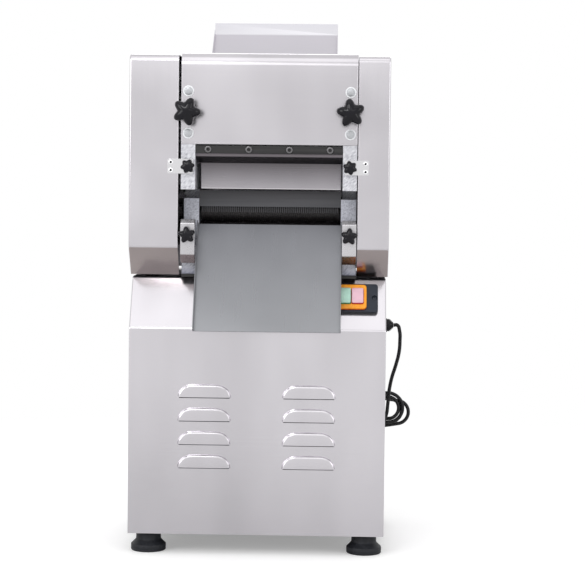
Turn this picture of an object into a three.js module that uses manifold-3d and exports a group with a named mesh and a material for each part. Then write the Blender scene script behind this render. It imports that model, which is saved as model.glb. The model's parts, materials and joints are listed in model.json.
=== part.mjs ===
// Electric pasta maker: a floor-standing stainless machine with sheeting rollers, a cutter unit and its drive
// Millimetres. X to the right, Y to the back, Z up. The origin is on the floor under the middle of the machine.
import * as THREE from 'three';
import { mergeVertices } from 'three/addons/utils/BufferGeometryUtils.js';
import Module from 'manifold-3d';

const wasm = await Module();
wasm.setup();

// Clearances and stock
const seat = 0.25; // between pieces that rest on each other
const runGap = 0.4; // round shafts, screws and sliding blocks
const overrun = 6; // how far a cutting tool runs past the face that it opens
const sheet = 1.5; // stainless sheet

// Facet counts
const sides = {
  roller: 24, cutter: 9, shaft: 12, pulley: 18, foot: 12, screw: 8, hex: 6, cord: 8, hank: 6, lobe: 5,
  hood: 10, hoodRows: 6,
};
const steps = { corner: 3, button: 2, bend: 6, beltLarge: 16, beltSmall: 8, drop: 24, tail: 4 };

// Cabinet
const cabinet = { frontY: -169, depth: 374, floorZ: 35, foldHeight: 362, slopeHeight: 88, slopeDepth: 55 };
const louvre = { width: 93.6, height: 23, depth: 7, pitch: 41.3, spacing: 183, lowest: 118.2, thickness: 1.2 };
const louvreRows = { front: 4, rear: 2 };
const hoodPowers = { width: 0.55, height: 0.75 };
const backFlange = 14;
const chassis = { thickness: 4, rim: 30, railWidth: 34, railHeight: 22, railSpacing: 120 };
const foot = {
  radius: 31, neckRadius: 22, padHeight: 17, coneHeight: 9, insetX: 34, insetY: 35, studRadius: 6,
  studLength: 10,
};

// Head
const head = { setBack: 10, depth: 330, coverOverhang: 3, plateThickness: 5, plateInset: 30, bend: 22, topGap: 12 };
const frame = {
  thickness: 25, footHeight: 20, footSetBack: 34, noseSetBack: 18.5, slotBottom: 50.5, slotTop: 149.5,
  slotDepth: 122,
};
const work = { span: 258, rollerAxis: 284.5, rollerSetBack: 98.8 };
const roller = { diameter: 84, journalRadius: 17.5, sideGap: 1, nipGap: 1.5, travel: 5 };
const bearingBlock = { width: 60, height: 60 };

// Drive train
const teeth = { roller: 21, bull: 44, pinion: 14, cutterDrive: 10, cutterPair: 20, idlerSpare: 2 };
const tooth = {
  addendumShare: 1, dedendumShare: 1.25, tipShare: 0.22, rootShare: 0.62, longAddendumShare: 1.22,
};
const lightening = { windows: 4, radiusShare: 0.36, rimTeeth: 2 };
const leftBay = { gearGap: 6, gearWidth: 22, pulleyGap: 30, pulleyWidth: 22, wallGap: 9.5 };
const rightBay = { gearGap: 5, gearWidth: 18, stub: 9, wallGap: 23.5 };
const meshSlack = 0.5;
const countershaft = { radius: 11, rearShift: 15 };
const pulley = { largeRadius: 92, smallRadius: 32, flange: 4, grooveDepth: 9, beltWidth: 11, hubRadius: 24 };
const motor = {
  radius: 72, length: 190, axisHeight: 84, setBack: 200, gapToPulley: 40, shaftRadius: 11, finDepth: 5,
  finCount: 12, finTipShare: 0.2, finRootShare: 0.32, boxLength: 80, boxHeight: 28, boxWidth: 70,
  cowlLength: 42,
};

// Cutter unit
const cutter = {
  spacing: 40, axisHeight: 71.5, outerRadius: 21, grooveDepth: 3.6, discWidth: 7, pitch: 15, discs: 16,
  journalRadius: 8, sideGap: 0.7, blockFront: 67, axisDepth: 95, blockBack: 121, blockTop: 133.5,
  blockReach: 2.4, pairWidth: 10, pairGap: 3, combThickness: 2, combTop: 148, fingerReach: 2.4,
};
const keeper = { height: 78, depth: 21, bevel: 7, heel: 16, knobHeight: 70.5, bottom: 19.5 };

// Front window
const crossBar = {
  bottom: 213, height: 14, depth: 11, screwRadius: 6, screwHeight: 3, screwPitch: 71, screws: 4,
};
const guide = { shelf: 25, shelfDrop: 11, foot: 34, bottom: 151 };
const chute = { top: 87, bottom: -96, topSetBack: 65, reach: 37, flange: 15 };
const tray = {
  inset: 11.75, wall: 10, startDepth: 176, startHeight: 347, bendDepth: 309, bendHeight: 441, endDepth: 323,
  endHeight: 462.5, pinRadius: 5, pinShares: [0.2, 0.48],
};
const doughGuide = { thickness: 12, height: 40, topWidth: 58 };
const coverEdge = { bottom: 229, openingFront: 120, openingRear: 268 };

// Covers and tabs
const sideCover = { drop: 4, kneeHeight: 50, kneeSetBack: 40, lift: 3.5, gapLeft: 4.5, gapRight: 1.5 };
const tab = { height: 26, reach: 19, lap: 19, thickness: 1.6, rivetRadius: 3, rivetHeight: 1.2, rivetPitch: 14 };

// Knobs and bolts
const gapKnob = { radius: 25, valleyShare: 0.7, lobes: 5, grip: 22, hubRadius: 13, hub: 20, screwRadius: 8 };
const keeperKnob = { radius: 15, valleyShare: 0.68, lobes: 5, grip: 13, hubRadius: 8, hub: 10, screwRadius: 4 };
const coverKnob = { radius: 12.5, valleyShare: 0.76, lobes: 6, grip: 11, hubRadius: 8, hub: 5, screwRadius: 4 };
// Degrees that each star knob stands at
const knobTurns = {
  left: { gap: 68, cover: 10, keeper: 25 },
  right: { gap: 94, cover: 40, keeper: 13 },
};
const coverKnobHeight = 190;
const coverKnobDepth = 22;
const adjuster = {
  height: 110, depth: 10, boltPitch: 73.5, washerRadius: 9.8, washer: 1.6, boltRadius: 5, headRadius: 7.5,
  head: 5,
};

// Switch
const panel = {
  width: 94, height: 56, thickness: 8, corner: 5, fromRight: 61.5, up: 61, screwSpacing: 82, screwRadius: 4.5,
};
const bezel = { width: 54, height: 48, rise: 5, corner: 6 };
const button = { width: 20.5, height: 30, rise: 4.5, travel: 3.5, spacing: 22, corner: 2.5, stem: 7 };
const switchBody = { width: 48, height: 42, depth: 34 };

// Cord
const gland = {
  height: 348, setBack: 299, hexRadius: 15, hex: 9, domeRadius: 12, dome: 12, nut: 8,
  shoulderShares: [0.8, 0.85],
};
const cord = { diameter: 7 };
const hank = {
  centreX: 192, centreZ: 210, run: 62, endRadius: 33, step: 8.4, layerStep: 8.4, frontY: 219, start: 215,
};
const hankCount = { loops: 4, arcSteps: 8, runSteps: 4 };
const waist = { draw: 9, reach: 40 };
const tail = { shiftY: 23, length: 40 };
const waistX = hank.centreX - hank.run / 2;
const tie = { width: 10, thickness: 1.5, gap: 0.6, slack: 1.2 };
const plug = {
  radius: 13, length: 34, collarRadius: 7, neckRadius: 5.25, collar: 14, pinRadius: 2.4, pinLength: 19,
  pinSpacing: 19,
};

// Places that follow from the sizes
const total = (lengths) => Object.values(lengths).reduce((sum, length) => sum + length, 0);
const leftBayWidth = total(leftBay) + sheet;
const rightBayWidth = total(rightBay) + sheet;
const headHalf = (leftBayWidth + rightBayWidth + work.span + 2 * frame.thickness) / 2;
const cabinetHalf = headHalf - head.coverOverhang;
const leftFrame = [leftBayWidth - headHalf, leftBayWidth - headHalf + frame.thickness];
const rightFrame = [headHalf - rightBayWidth - frame.thickness, headHalf - rightBayWidth];
const workX = (leftFrame[1] + rightFrame[0]) / 2;
const cabinetRear = cabinet.frontY + cabinet.depth;
const foldZ = cabinet.floorZ + cabinet.foldHeight;
const cabinetTop = foldZ + cabinet.slopeHeight;
const plateTop = cabinetTop + seat + head.plateThickness;
const frameBottom = plateTop + seat;
const headFront = cabinet.frontY + head.setBack;
const headRear = headFront + head.depth;
const frameFront = headFront + sheet + seat;
const frameRear = headRear - sheet - seat;
const module = roller.diameter / teeth.roller;
const rollerZ = frameBottom + work.rollerAxis;
const frontRollerY = frameFront + work.rollerSetBack;
const rearRollerY = frontRollerY + roller.diameter + roller.nipGap;
const bullOuter = module * (teeth.bull / 2 + tooth.addendumShare);
const headTop = rollerZ + bullOuter + head.topGap;
const frameTop = headTop - sheet - seat;
const cutterY = frameFront + cutter.axisDepth;
const lowerCutterZ = frameBottom + cutter.axisHeight;
const upperCutterZ = lowerCutterZ + cutter.spacing;
const pulleyX = -headHalf + sheet + leftBay.wallGap;
const bullX = leftFrame[0] - leftBay.gearGap - leftBay.gearWidth;
const rightGearX = rightFrame[1] + rightBay.gearGap;
const rightShaftEnd = rightGearX + rightBay.gearWidth + rightBay.stub;
const motorY = cabinet.frontY + motor.setBack;
const motorZ = cabinet.floorZ + seat + chassis.thickness + chassis.railHeight + seat + motor.axisHeight;

// Finishes: colour, roughness, metalness
const finishes = {
  brushed: [0xc9cacb, 0.36, 0.9],
  milled: [0xb9bbbd, 0.5, 0.85],
  cast: [0x7d8082, 0.65, 0.6],
  steel: [0x9a9c9f, 0.4, 0.9],
  dark: [0x3b3d40, 0.55, 0.6],
  black: [0x141416, 0.32, 0],
  rubber: [0x2b2c2f, 0.8, 0],
  paint: [0x5c6570, 0.55, 0.2],
  orange: [0xe08a1c, 0.4, 0],
  green: [0x1f9a5a, 0.35, 0],
  red: [0xc22a24, 0.35, 0],
};

// Solids
function signedVolume(positions, triangles) {
  const [a, b, c] = [new THREE.Vector3(), new THREE.Vector3(), new THREE.Vector3()];
  let sum = 0;
  for (let i = 0; i < triangles.length; i += 3) {
    a.fromArray(positions, 3 * triangles[i]);
    b.fromArray(positions, 3 * triangles[i + 1]);
    c.fromArray(positions, 3 * triangles[i + 2]);
    sum += a.dot(b.cross(c));
  }
  return sum;
}

function toSolid(geometry) {
  const bare = geometry.clone();
  bare.deleteAttribute('normal');
  bare.deleteAttribute('uv');
  const merged = mergeVertices(bare);
  const positions = merged.attributes.position.array;
  const triangles = [];
  for (let i = 0; i < merged.index.count; i += 3) {
    const corners = [0, 1, 2].map((corner) => merged.index.getX(i + corner));
    if (new Set(corners).size === 3) triangles.push(...corners);
  }
  if (signedVolume(positions, triangles) < 0) triangles.reverse();
  return new wasm.Manifold(new wasm.Mesh({
    numProp: 3,
    vertProperties: new Float32Array(positions),
    triVerts: new Uint32Array(triangles),
  }));
}

function toGeometry(solid) {
  const mesh = solid.getMesh();
  const geometry = new THREE.BufferGeometry();
  geometry.setAttribute('position', new THREE.BufferAttribute(new Float32Array(mesh.vertProperties), 3));
  geometry.setIndex(new THREE.BufferAttribute(new Uint32Array(mesh.triVerts), 1));
  geometry.computeVertexNormals();
  return geometry;
}

const join = (first, ...others) => others.reduce((whole, other) => whole.add(other), first);
const cut = (first, ...others) => others.reduce((whole, other) => whole.subtract(other), first);

function piece(name, solid, finish) {
  const [color, roughness, metalness] = finishes[finish];
  const material = new THREE.MeshStandardMaterial({ color, roughness, metalness, flatShading: true });
  const mesh = new THREE.Mesh(toGeometry(solid), material);
  mesh.name = name;
  return mesh;
}

// Outlines
function circle(radius, [a, b] = [0, 0], count = sides.shaft) {
  return Array.from({ length: count }, (_, i) => {
    const angle = (i / count) * 2 * Math.PI;
    return [a + radius * Math.cos(angle), b + radius * Math.sin(angle)];
  });
}

function arc([a, b], radius, from, to, count) {
  return Array.from({ length: count + 1 }, (_, i) => {
    const angle = from + ((to - from) * i) / count;
    return [a + radius * Math.cos(angle), b + radius * Math.sin(angle)];
  });
}

// Corners are [a, b] or [a, b, radius]
function rounded(corners, cornerSteps = steps.corner) {
  const outline = [];
  corners.forEach(([a, b, radius = 0], i) => {
    if (!radius) {
      outline.push([a, b]);
      return;
    }
    const here = new THREE.Vector2(a, b);
    const before = corners[(i + corners.length - 1) % corners.length];
    const after = corners[(i + 1) % corners.length];
    const toBefore = new THREE.Vector2(before[0], before[1]).sub(here).normalize();
    const toAfter = new THREE.Vector2(after[0], after[1]).sub(here).normalize();
    const half = Math.acos(toBefore.dot(toAfter)) / 2;
    const middle = toBefore.clone().add(toAfter).normalize().multiplyScalar(radius / Math.sin(half)).add(here);
    const start = toBefore.multiplyScalar(radius / Math.tan(half)).add(here).sub(middle);
    const end = toAfter.multiplyScalar(radius / Math.tan(half)).add(here).sub(middle);
    const turn = Math.atan2(start.cross(end), start.dot(end));
    outline.push(...arc([middle.x, middle.y], radius, start.angle(), start.angle() + turn, cornerSteps));
  });
  return outline;
}

function rectangle([a0, a1], [b0, b1], radius = 0, cornerSteps = steps.corner) {
  return rounded([[a0, b0, radius], [a1, b0, radius], [a1, b1, radius], [a0, b1, radius]], cornerSteps);
}

// The outline of a bent sheet: the path, then the same path set off to its left
function bentSheet(path, thickness = sheet) {
  const points = path.map(([a, b]) => new THREE.Vector2(a, b));
  const back = points.map((point, i) => {
    const before = points[Math.max(i - 1, 0)];
    const after = points[Math.min(i + 1, points.length - 1)];
    const into = i > 0 ? point.clone().sub(before).normalize() : after.clone().sub(point).normalize();
    const out = i < points.length - 1 ? after.clone().sub(point).normalize() : into;
    const middle = into.clone().add(out).normalize();
    const normal = new THREE.Vector2(-middle.y, middle.x);
    return normal.multiplyScalar(thickness / middle.dot(into)).add(point).toArray();
  });
  return [...points.map((point) => point.toArray()), ...back.reverse()];
}

// Extrusions and turned shapes
function extruded(outline, depth, holes = []) {
  const shape = new THREE.Shape(outline.map(([a, b]) => new THREE.Vector2(a, b)));
  shape.holes = holes.map((hole) => new THREE.Path(hole.map(([a, b]) => new THREE.Vector2(a, b))));
  return new THREE.ExtrudeGeometry(shape, { depth, bevelEnabled: false });
}

const swapToX = new THREE.Matrix4().set(0, 0, 1, 0, 1, 0, 0, 0, 0, 1, 0, 0, 0, 0, 0, 1);

// Outlines along X are [y, z], along Y they are [x, z], along Z they are [x, y]
function alongX(outline, [from, to], holes) {
  return toSolid(extruded(outline, to - from, holes).applyMatrix4(swapToX).translate(from, 0, 0));
}

function alongY(outline, [front, back], holes) {
  return toSolid(extruded(outline, back - front, holes).rotateX(Math.PI / 2).translate(0, back, 0));
}

function alongZ(outline, [bottom, top], holes) {
  return toSolid(extruded(outline, top - bottom, holes).translate(0, 0, bottom));
}

const block = (x, y, z) => alongZ(rectangle(x, y), z);
const rodX = (radius, x, centre, count) => alongX(circle(radius, centre, count), x);
const rodY = (radius, y, centre, count) => alongY(circle(radius, centre, count), y);

// Holes whose flats clear a round of the given radius
const through = ([from, to]) => [from - overrun, to + overrun];
const widened = (radius, count) => (radius + runGap) / Math.cos(Math.PI / count);
const bore = (radius, centre, count = sides.shaft) => circle(widened(radius, count), centre, count);
const boreX = (radius, x, centre) => alongX(bore(radius, centre), through(x));
const boreY = (radius, y, centre) => alongY(bore(radius, centre), through(y));

// Profiles are [radius, place along the axis], from the axis and back to it
function turned(profile, count) {
  return new THREE.LatheGeometry(profile.map(([radius, along]) => new THREE.Vector2(radius, along)), count);
}

function turnedX(profile, [y, z], count) {
  return toSolid(turned(profile, count).rotateZ(-Math.PI / 2).translate(0, y, z));
}

const turnedZ = (profile, count) => toSolid(turned(profile, count).rotateX(Math.PI / 2));

// Gears
function gearOutline(count, size, [y, z], phase, addendumShare = tooth.addendumShare) {
  const tip = size * (count / 2 + addendumShare);
  const root = size * (count / 2 - tooth.dedendumShare);
  const pitchAngle = (2 * Math.PI) / count;
  const { rootShare, tipShare } = tooth;
  const corners = [[root, -rootShare], [tip, -tipShare], [tip, tipShare], [root, rootShare]];
  return Array.from({ length: count }, (_, i) => corners.map(([radius, share]) => {
    const angle = phase + (i + share / 2) * pitchAngle;
    return [y + radius * Math.cos(angle), z + radius * Math.sin(angle)];
  })).flat();
}

// The phase of a gear whose teeth fall in the gaps of the gear that it meshes with
function meshedPhase(from, fromTeeth, fromPhase, to, toTeeth) {
  const direction = Math.atan2(to[1] - from[1], to[0] - from[0]);
  return direction + Math.PI - (fromTeeth / toTeeth) * (fromPhase - direction) - Math.PI / toTeeth;
}

const centreDistance = (a, b, size = module) => (size * (a + b)) / 2 + meshSlack;

// The third corner of a triangle, on the rear side of the line between two axes
function thirdAxis(from, fromReach, to, toReach) {
  const apart = Math.hypot(to[0] - from[0], to[1] - from[1]);
  const direction = Math.atan2(to[1] - from[1], to[0] - from[0]);
  const swing = Math.acos((fromReach ** 2 + apart ** 2 - toReach ** 2) / (2 * fromReach * apart));
  return [from[0] + fromReach * Math.cos(direction + swing), from[1] + fromReach * Math.sin(direction + swing)];
}

const rearAxis = [rearRollerY, rollerZ];
const frontAxis = [frontRollerY, rollerZ];
const lowerCutterAxis = [cutterY, lowerCutterZ];
const upperCutterAxis = [cutterY, upperCutterZ];
const pinionReach = centreDistance(teeth.bull, teeth.pinion);
const counterAxis = [
  rearRollerY + countershaft.rearShift,
  rollerZ - Math.sqrt(pinionReach ** 2 - countershaft.rearShift ** 2),
];
const motorAxis = [motorY, motorZ];
const cutterSpan = Math.hypot(cutterY - rearRollerY, lowerCutterZ - rollerZ);
const idlerTeeth = Math.ceil(cutterSpan / module - (teeth.roller + teeth.cutterDrive) / 2) + teeth.idlerSpare;
const idlerAxis = thirdAxis(
  rearAxis, centreDistance(teeth.roller, idlerTeeth), lowerCutterAxis, centreDistance(idlerTeeth, teeth.cutterDrive),
);
const rearPhase = 0;
const bullPhase = 0;
const frontPhase = meshedPhase(rearAxis, teeth.roller, rearPhase, frontAxis, teeth.roller);
const pinionPhase = meshedPhase(rearAxis, teeth.bull, bullPhase, counterAxis, teeth.pinion);
const idlerPhase = meshedPhase(rearAxis, teeth.roller, rearPhase, idlerAxis, idlerTeeth);
const cutterDrivePhase = meshedPhase(idlerAxis, idlerTeeth, idlerPhase, lowerCutterAxis, teeth.cutterDrive);
const pairModule = cutter.spacing / teeth.cutterPair;
const upperPairPhase = meshedPhase(lowerCutterAxis, teeth.cutterPair, 0, upperCutterAxis, teeth.cutterPair);

// Cabinet pieces
// A pressed hood on a panel that faces -Y, open along its straight lower edge at the origin
function hood(inset) {
  const form = new THREE.SphereGeometry(1, sides.hood, sides.hoodRows);
  const place = form.attributes.position;
  for (let i = 0; i < place.count; i += 1) {
    const [x, y, z] = [place.getX(i), place.getY(i), place.getZ(i)];
    place.setXYZ(
      i,
      Math.sign(x) * Math.abs(x) ** hoodPowers.width * (louvre.width / 2 - inset),
      y * (louvre.depth - inset),
      Math.sign(z) * Math.abs(z) ** hoodPowers.height * (louvre.height - inset),
    );
  }
  const reach = louvre.width + overrun;
  const outward = [-reach, inset ? sheet + overrun : sheet / 2];
  return toSolid(form).intersect(block([-reach, reach], outward, [0, reach]));
}

function withLouvres(wall, faceY, outward, rows) {
  const outside = hood(0);
  const inside = join(hood(louvre.thickness), block(
    [louvre.thickness - louvre.width / 2, louvre.width / 2 - louvre.thickness],
    [louvre.thickness - louvre.depth, sheet + overrun],
    [0, louvre.thickness],
  ).intersect(hood(louvre.thickness)));
  let result = wall;
  for (let row = 0; row < rows; row += 1) {
    for (const side of [-1, 1]) {
      const place = [side * (louvre.spacing / 2), faceY, cabinet.floorZ + louvre.lowest + row * louvre.pitch];
      const facing = (solid) => (outward < 0 ? solid : solid.mirror([0, 1, 0]));
      result = result.add(facing(outside).translate(place)).subtract(facing(inside).translate(place));
    }
  }
  return result;
}

const slopeAngle = Math.atan2(cabinet.slopeHeight, cabinet.slopeDepth);
const panelX = cabinetHalf - panel.fromRight;

// A point on the slope: across, up the slope from the fold, and out from its face
function onSlope(x, up, out) {
  return [
    x,
    cabinet.frontY + up * Math.cos(slopeAngle) - out * Math.sin(slopeAngle),
    foldZ + up * Math.sin(slopeAngle) + out * Math.cos(slopeAngle),
  ];
}

function cabinetShell() {
  const topEdgeY = cabinet.frontY + cabinet.slopeDepth;
  const outline = (inset, drop) => rounded([
    [cabinet.frontY + inset, cabinet.floorZ - drop],
    [cabinet.frontY + inset, foldZ - inset * Math.tan((Math.PI / 2 - slopeAngle) / 2), 3 * sheet - inset],
    [topEdgeY + inset * Math.tan(slopeAngle / 2), cabinetTop - inset, 3 * sheet - inset],
    [cabinetRear + drop, cabinetTop - inset],
    [cabinetRear + drop, cabinet.floorZ - drop],
  ]);
  const walls = alongX(outline(0, 0), [-cabinetHalf, cabinetHalf]);
  const hollow = alongX(outline(sheet, overrun), [sheet - cabinetHalf, cabinetHalf - sheet]);
  const beltSlot = block(
    [pulleyX - seat, pulleyX + leftBay.pulleyWidth + seat],
    [counterAxis[0] - pulley.largeRadius - runGap, counterAxis[0] + pulley.largeRadius + runGap],
    [cabinetTop - sheet - overrun, cabinetTop + overrun],
  );
  const glandHole = boreX(gland.domeRadius - runGap, [cabinetHalf - sheet, cabinetHalf], [glandY, glandZ]);
  const switchHole = block(
    [-switchBody.width / 2 - runGap, switchBody.width / 2 + runGap],
    [-switchBody.height / 2 - runGap, switchBody.height / 2 + runGap],
    [-overrun, overrun],
  ).rotate([THREE.MathUtils.radToDeg(slopeAngle), 0, 0]).translate(onSlope(panelX, panel.up, 0));
  const shell = cut(walls, hollow, beltSlot, glandHole, switchHole);
  return withLouvres(shell, cabinet.frontY, -1, louvreRows.front);
}

function backPanel() {
  const edge = cabinetHalf - sheet - seat;
  const top = cabinetTop - sheet - seat;
  const plate = block([-edge, edge], [cabinetRear - sheet, cabinetRear], [chassisTop, top]);
  const folded = block([-edge, edge], [cabinetRear - backFlange, cabinetRear], [chassisTop, chassisTop + sheet]);
  return withLouvres(join(plate, folded), cabinetRear, 1, louvreRows.rear);
}

const chassisBottom = cabinet.floorZ + seat;
const chassisTop = chassisBottom + chassis.thickness + chassis.rim + seat;
const footPlaces = {
  foot_front_left: [foot.insetX - cabinetHalf, cabinet.frontY + foot.insetY],
  foot_front_right: [cabinetHalf - foot.insetX, cabinet.frontY + foot.insetY],
  foot_rear_left: [foot.insetX - cabinetHalf, cabinetRear - foot.insetY],
  foot_rear_right: [cabinetHalf - foot.insetX, cabinetRear - foot.insetY],
};

function chassisTray() {
  const x = [sheet + seat - cabinetHalf, cabinetHalf - sheet - seat];
  const y = [cabinet.frontY + sheet + seat, cabinetRear];
  const outer = block(x, y, [chassisBottom, chassisBottom + chassis.thickness + chassis.rim]);
  const hollow = block(
    [x[0] + chassis.thickness, x[1] - chassis.thickness],
    [y[0] + chassis.thickness, y[1] - chassis.thickness],
    [chassisBottom + chassis.thickness, chassisBottom + chassis.thickness + chassis.rim + overrun],
  );
  const railTop = chassisBottom + chassis.thickness + chassis.railHeight;
  const rails = [-1, 1].map((side) => {
    const middle = motorY + (side * chassis.railSpacing) / 2;
    return block(
      [motorLeft, motorLeft + motor.length],
      [middle - chassis.railWidth / 2, middle + chassis.railWidth / 2],
      [chassisBottom + chassis.thickness / 2, railTop],
    );
  });
  const studHoles = Object.values(footPlaces).map((place) => alongZ(
    bore(foot.studRadius, place), [chassisBottom - overrun, chassisBottom + chassis.thickness + overrun],
  ));
  return cut(join(cut(outer, hollow), ...rails), ...studHoles);
}

function footSolid() {
  const top = cabinet.floorZ;
  return turnedZ([
    [0, 0],
    [foot.radius - foot.studRadius / 2, 0],
    [foot.radius, foot.studRadius / 2],
    [foot.radius, foot.padHeight],
    [foot.neckRadius, foot.padHeight + foot.coneHeight],
    [foot.neckRadius, top],
    [foot.studRadius, top],
    [foot.studRadius, top + foot.studLength],
    [0, top + foot.studLength],
  ], sides.foot);
}

// Motor, belt and pulleys
const motorLeft = pulleyX + leftBay.pulleyWidth + motor.gapToPulley;

function motorBody() {
  const right = motorLeft + motor.length;
  const finTip = motor.radius;
  const finRoot = motor.radius - motor.finDepth;
  const pitchAngle = (2 * Math.PI) / motor.finCount;
  const { finRootShare, finTipShare } = motor;
  const fin = [[finRoot, -finRootShare], [finTip, -finTipShare], [finTip, finTipShare], [finRoot, finRootShare]];
  const ribs = Array.from({ length: motor.finCount }, (_, i) => fin.map(([radius, share]) => {
    const angle = (i + share) * pitchAngle;
    return [motorY + radius * Math.cos(angle), motorZ + radius * Math.sin(angle)];
  })).flat();
  const core = alongX(ribs, [motorLeft + motor.cowlLength / 2, right - motor.cowlLength]);
  const shield = rodX(finTip, [motorLeft, motorLeft + motor.cowlLength / 2], motorAxis, sides.pulley);
  const cowl = rodX(finTip, [right - motor.cowlLength, right], motorAxis, sides.pulley);
  const boots = [-1, 1].map((side) => {
    const middle = motorY + (side * chassis.railSpacing) / 2;
    return block(
      [motorLeft + motor.cowlLength, right - motor.cowlLength],
      [middle - chassis.railWidth / 2, middle + chassis.railWidth / 2],
      [motorZ - motor.axisHeight, motorZ - finRoot / 2],
    );
  });
  const box = block(
    [motorLeft + motor.cowlLength, motorLeft + motor.cowlLength + motor.boxLength],
    [motorY - motor.boxWidth / 2, motorY + motor.boxWidth / 2],
    [motorZ, motorZ + motor.radius + motor.boxHeight],
  );
  const shaftBore = boreX(motor.shaftRadius, [motorLeft, motorLeft + motor.length / 2], motorAxis);
  return cut(join(core, shield, cowl, ...boots, box), shaftBore);
}

function pulleySolid(axis, outer, shaftRadius) {
  const [left, right] = [pulleyX, pulleyX + leftBay.pulleyWidth];
  const middle = (left + right) / 2;
  const half = pulley.beltWidth / 2 + runGap;
  const root = outer - pulley.grooveDepth;
  const rim = [[outer, left + pulley.flange / 2], [outer, middle - half], [root, middle - half]];
  const mirrored = rim.map(([radius, along]) => [radius, left + right - along]).reverse();
  const web = root - pulley.flange;
  const dished = web > pulley.hubRadius + pulley.flange;
  const webFace = middle - pulley.flange;
  const dish = [[pulley.hubRadius, left], [pulley.hubRadius, webFace], [web, webFace], [web, left + pulley.flange / 2]];
  const leftFace = [[0, left], ...(dished ? dish : [[web, left]])];
  const rightFace = leftFace.map(([radius, along]) => [radius, left + right - along]).reverse();
  const body = turnedX([...leftFace, ...rim, ...mirrored, ...rightFace], axis, sides.pulley);
  return shaftRadius ? cut(body, boreX(shaftRadius, [left, right], axis)) : body;
}

function motorPulley() {
  const shaftX = [pulleyX + leftBay.pulleyWidth / 2, motorLeft + motor.length / 2 - runGap];
  const shaft = rodX(motor.shaftRadius, shaftX, motorAxis, sides.shaft);
  return join(pulleySolid(motorAxis, pulley.smallRadius), shaft);
}

function driveBelt() {
  const apart = Math.hypot(motorY - counterAxis[0], motorZ - counterAxis[1]);
  const direction = Math.atan2(motorZ - counterAxis[1], motorY - counterAxis[0]);
  const wrap = Math.acos((pulley.largeRadius - pulley.smallRadius) / apart);
  const away = [direction + wrap, direction + 2 * Math.PI - wrap];
  const largeRoot = pulley.largeRadius - pulley.grooveDepth;
  const smallRoot = pulley.smallRadius - pulley.grooveDepth;
  const loop = (rise) => [
    ...arc(counterAxis, largeRoot + rise, ...away, steps.beltLarge),
    ...arc(motorAxis, smallRoot + rise, direction - wrap, direction + wrap, steps.beltSmall),
  ];
  const middle = pulleyX + leftBay.pulleyWidth / 2;
  const x = [middle - pulley.beltWidth / 2, middle + pulley.beltWidth / 2];
  return alongX(loop(pulley.grooveDepth - runGap), x, [loop(2 * runGap)]);
}

function countershaftPinion() {
  const shaft = rodX(countershaft.radius, [pulleyX, leftFrame[1]], counterAxis, sides.shaft);
  const pinion = alongX(
    gearOutline(teeth.pinion, module, counterAxis, pinionPhase), [bullX, bullX + leftBay.gearWidth],
  );
  return join(shaft, pinion);
}

// Rollers and their gears
function rollerSolid(axis, shaftLeft) {
  const left = leftFrame[1] + roller.sideGap;
  const right = rightFrame[0] - roller.sideGap;
  const radius = roller.diameter / 2;
  return turnedX([
    [0, shaftLeft],
    [roller.journalRadius, shaftLeft],
    [roller.journalRadius, left],
    [radius, left],
    [radius, right],
    [roller.journalRadius, right],
    [roller.journalRadius, rightShaftEnd],
    [0, rightShaftEnd],
  ], axis, sides.roller);
}

function gearSolid(count, axis, phase, x, shaftRadius, addendumShare) {
  return alongX(gearOutline(count, module, axis, phase, addendumShare), x, [bore(shaftRadius, axis)]);
}

function lightened(gear, count, axis, shaftRadius, x) {
  const inner = shaftRadius + module * lightening.rimTeeth;
  const outer = module * (count / 2 - tooth.dedendumShare - lightening.rimTeeth);
  const middle = (inner + outer) / 2;
  const holes = Array.from({ length: lightening.windows }, (_, i) => {
    const angle = (i / lightening.windows) * 2 * Math.PI;
    const place = [axis[0] + middle * Math.cos(angle), axis[1] + middle * Math.sin(angle)];
    return rodX((outer - inner) * lightening.radiusShare, [x[0] - overrun, x[1] + overrun], place, sides.screw);
  });
  return cut(gear, ...holes);
}

// Side frames
const slotBottomZ = frameBottom + frame.slotBottom;
const slotTopZ = frameBottom + frame.slotTop;
const noseY = frameFront + frame.noseSetBack;
const keeperKnobZ = frameBottom + keeper.knobHeight;
const coverKnobZ = frameBottom + coverKnobHeight;
const blockWindow = [
  frontRollerY - bearingBlock.width / 2 - roller.travel - runGap,
  frontRollerY + bearingBlock.width / 2 + runGap,
];

function frameOutline() {
  const footY = frameFront + frame.footSetBack;
  return rounded([
    [frameRear, frameBottom],
    [footY, frameBottom],
    [footY, frameBottom + frame.footHeight],
    [noseY, frameBottom + frame.footHeight + frame.footSetBack - frame.noseSetBack],
    [noseY, slotBottomZ],
    [frameFront + frame.slotDepth, slotBottomZ, sheet],
    [frameFront + frame.slotDepth, slotTopZ, sheet],
    [frameFront, slotTopZ],
    [frameFront, frameTop, head.bend - sheet],
    [frameRear, frameTop, head.bend - sheet],
  ]);
}

function sideFrame(x) {
  const window = block(
    [x[0] - overrun, x[1] + overrun], blockWindow,
    [rollerZ - bearingBlock.height / 2 - runGap, rollerZ + bearingBlock.height / 2 + runGap],
  );
  const journal = boreX(roller.journalRadius, x, rearAxis);
  const centre = (x[0] + x[1]) / 2;
  const pocket = block(
    [x[0] - overrun, x[1] + overrun], [frameFront - overrun, frameFront + adjuster.depth + seat],
    [rollerZ - adjuster.height / 2 - seat, rollerZ + adjuster.height / 2 + seat],
  );
  const screw = boreY(gapKnob.screwRadius, [frameFront, blockWindow[0]], [centre, rollerZ]);
  const knobReach = [frameFront - overrun, frameFront + coverKnobDepth];
  const knobHole = alongY(bore(coverKnob.screwRadius, [centre, coverKnobZ]), knobReach);
  return cut(alongX(frameOutline(), x), window, journal, pocket, screw, knobHole);
}

function leftSideFrame() {
  return cut(sideFrame(leftFrame), boreX(countershaft.radius, leftFrame, counterAxis));
}

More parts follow.
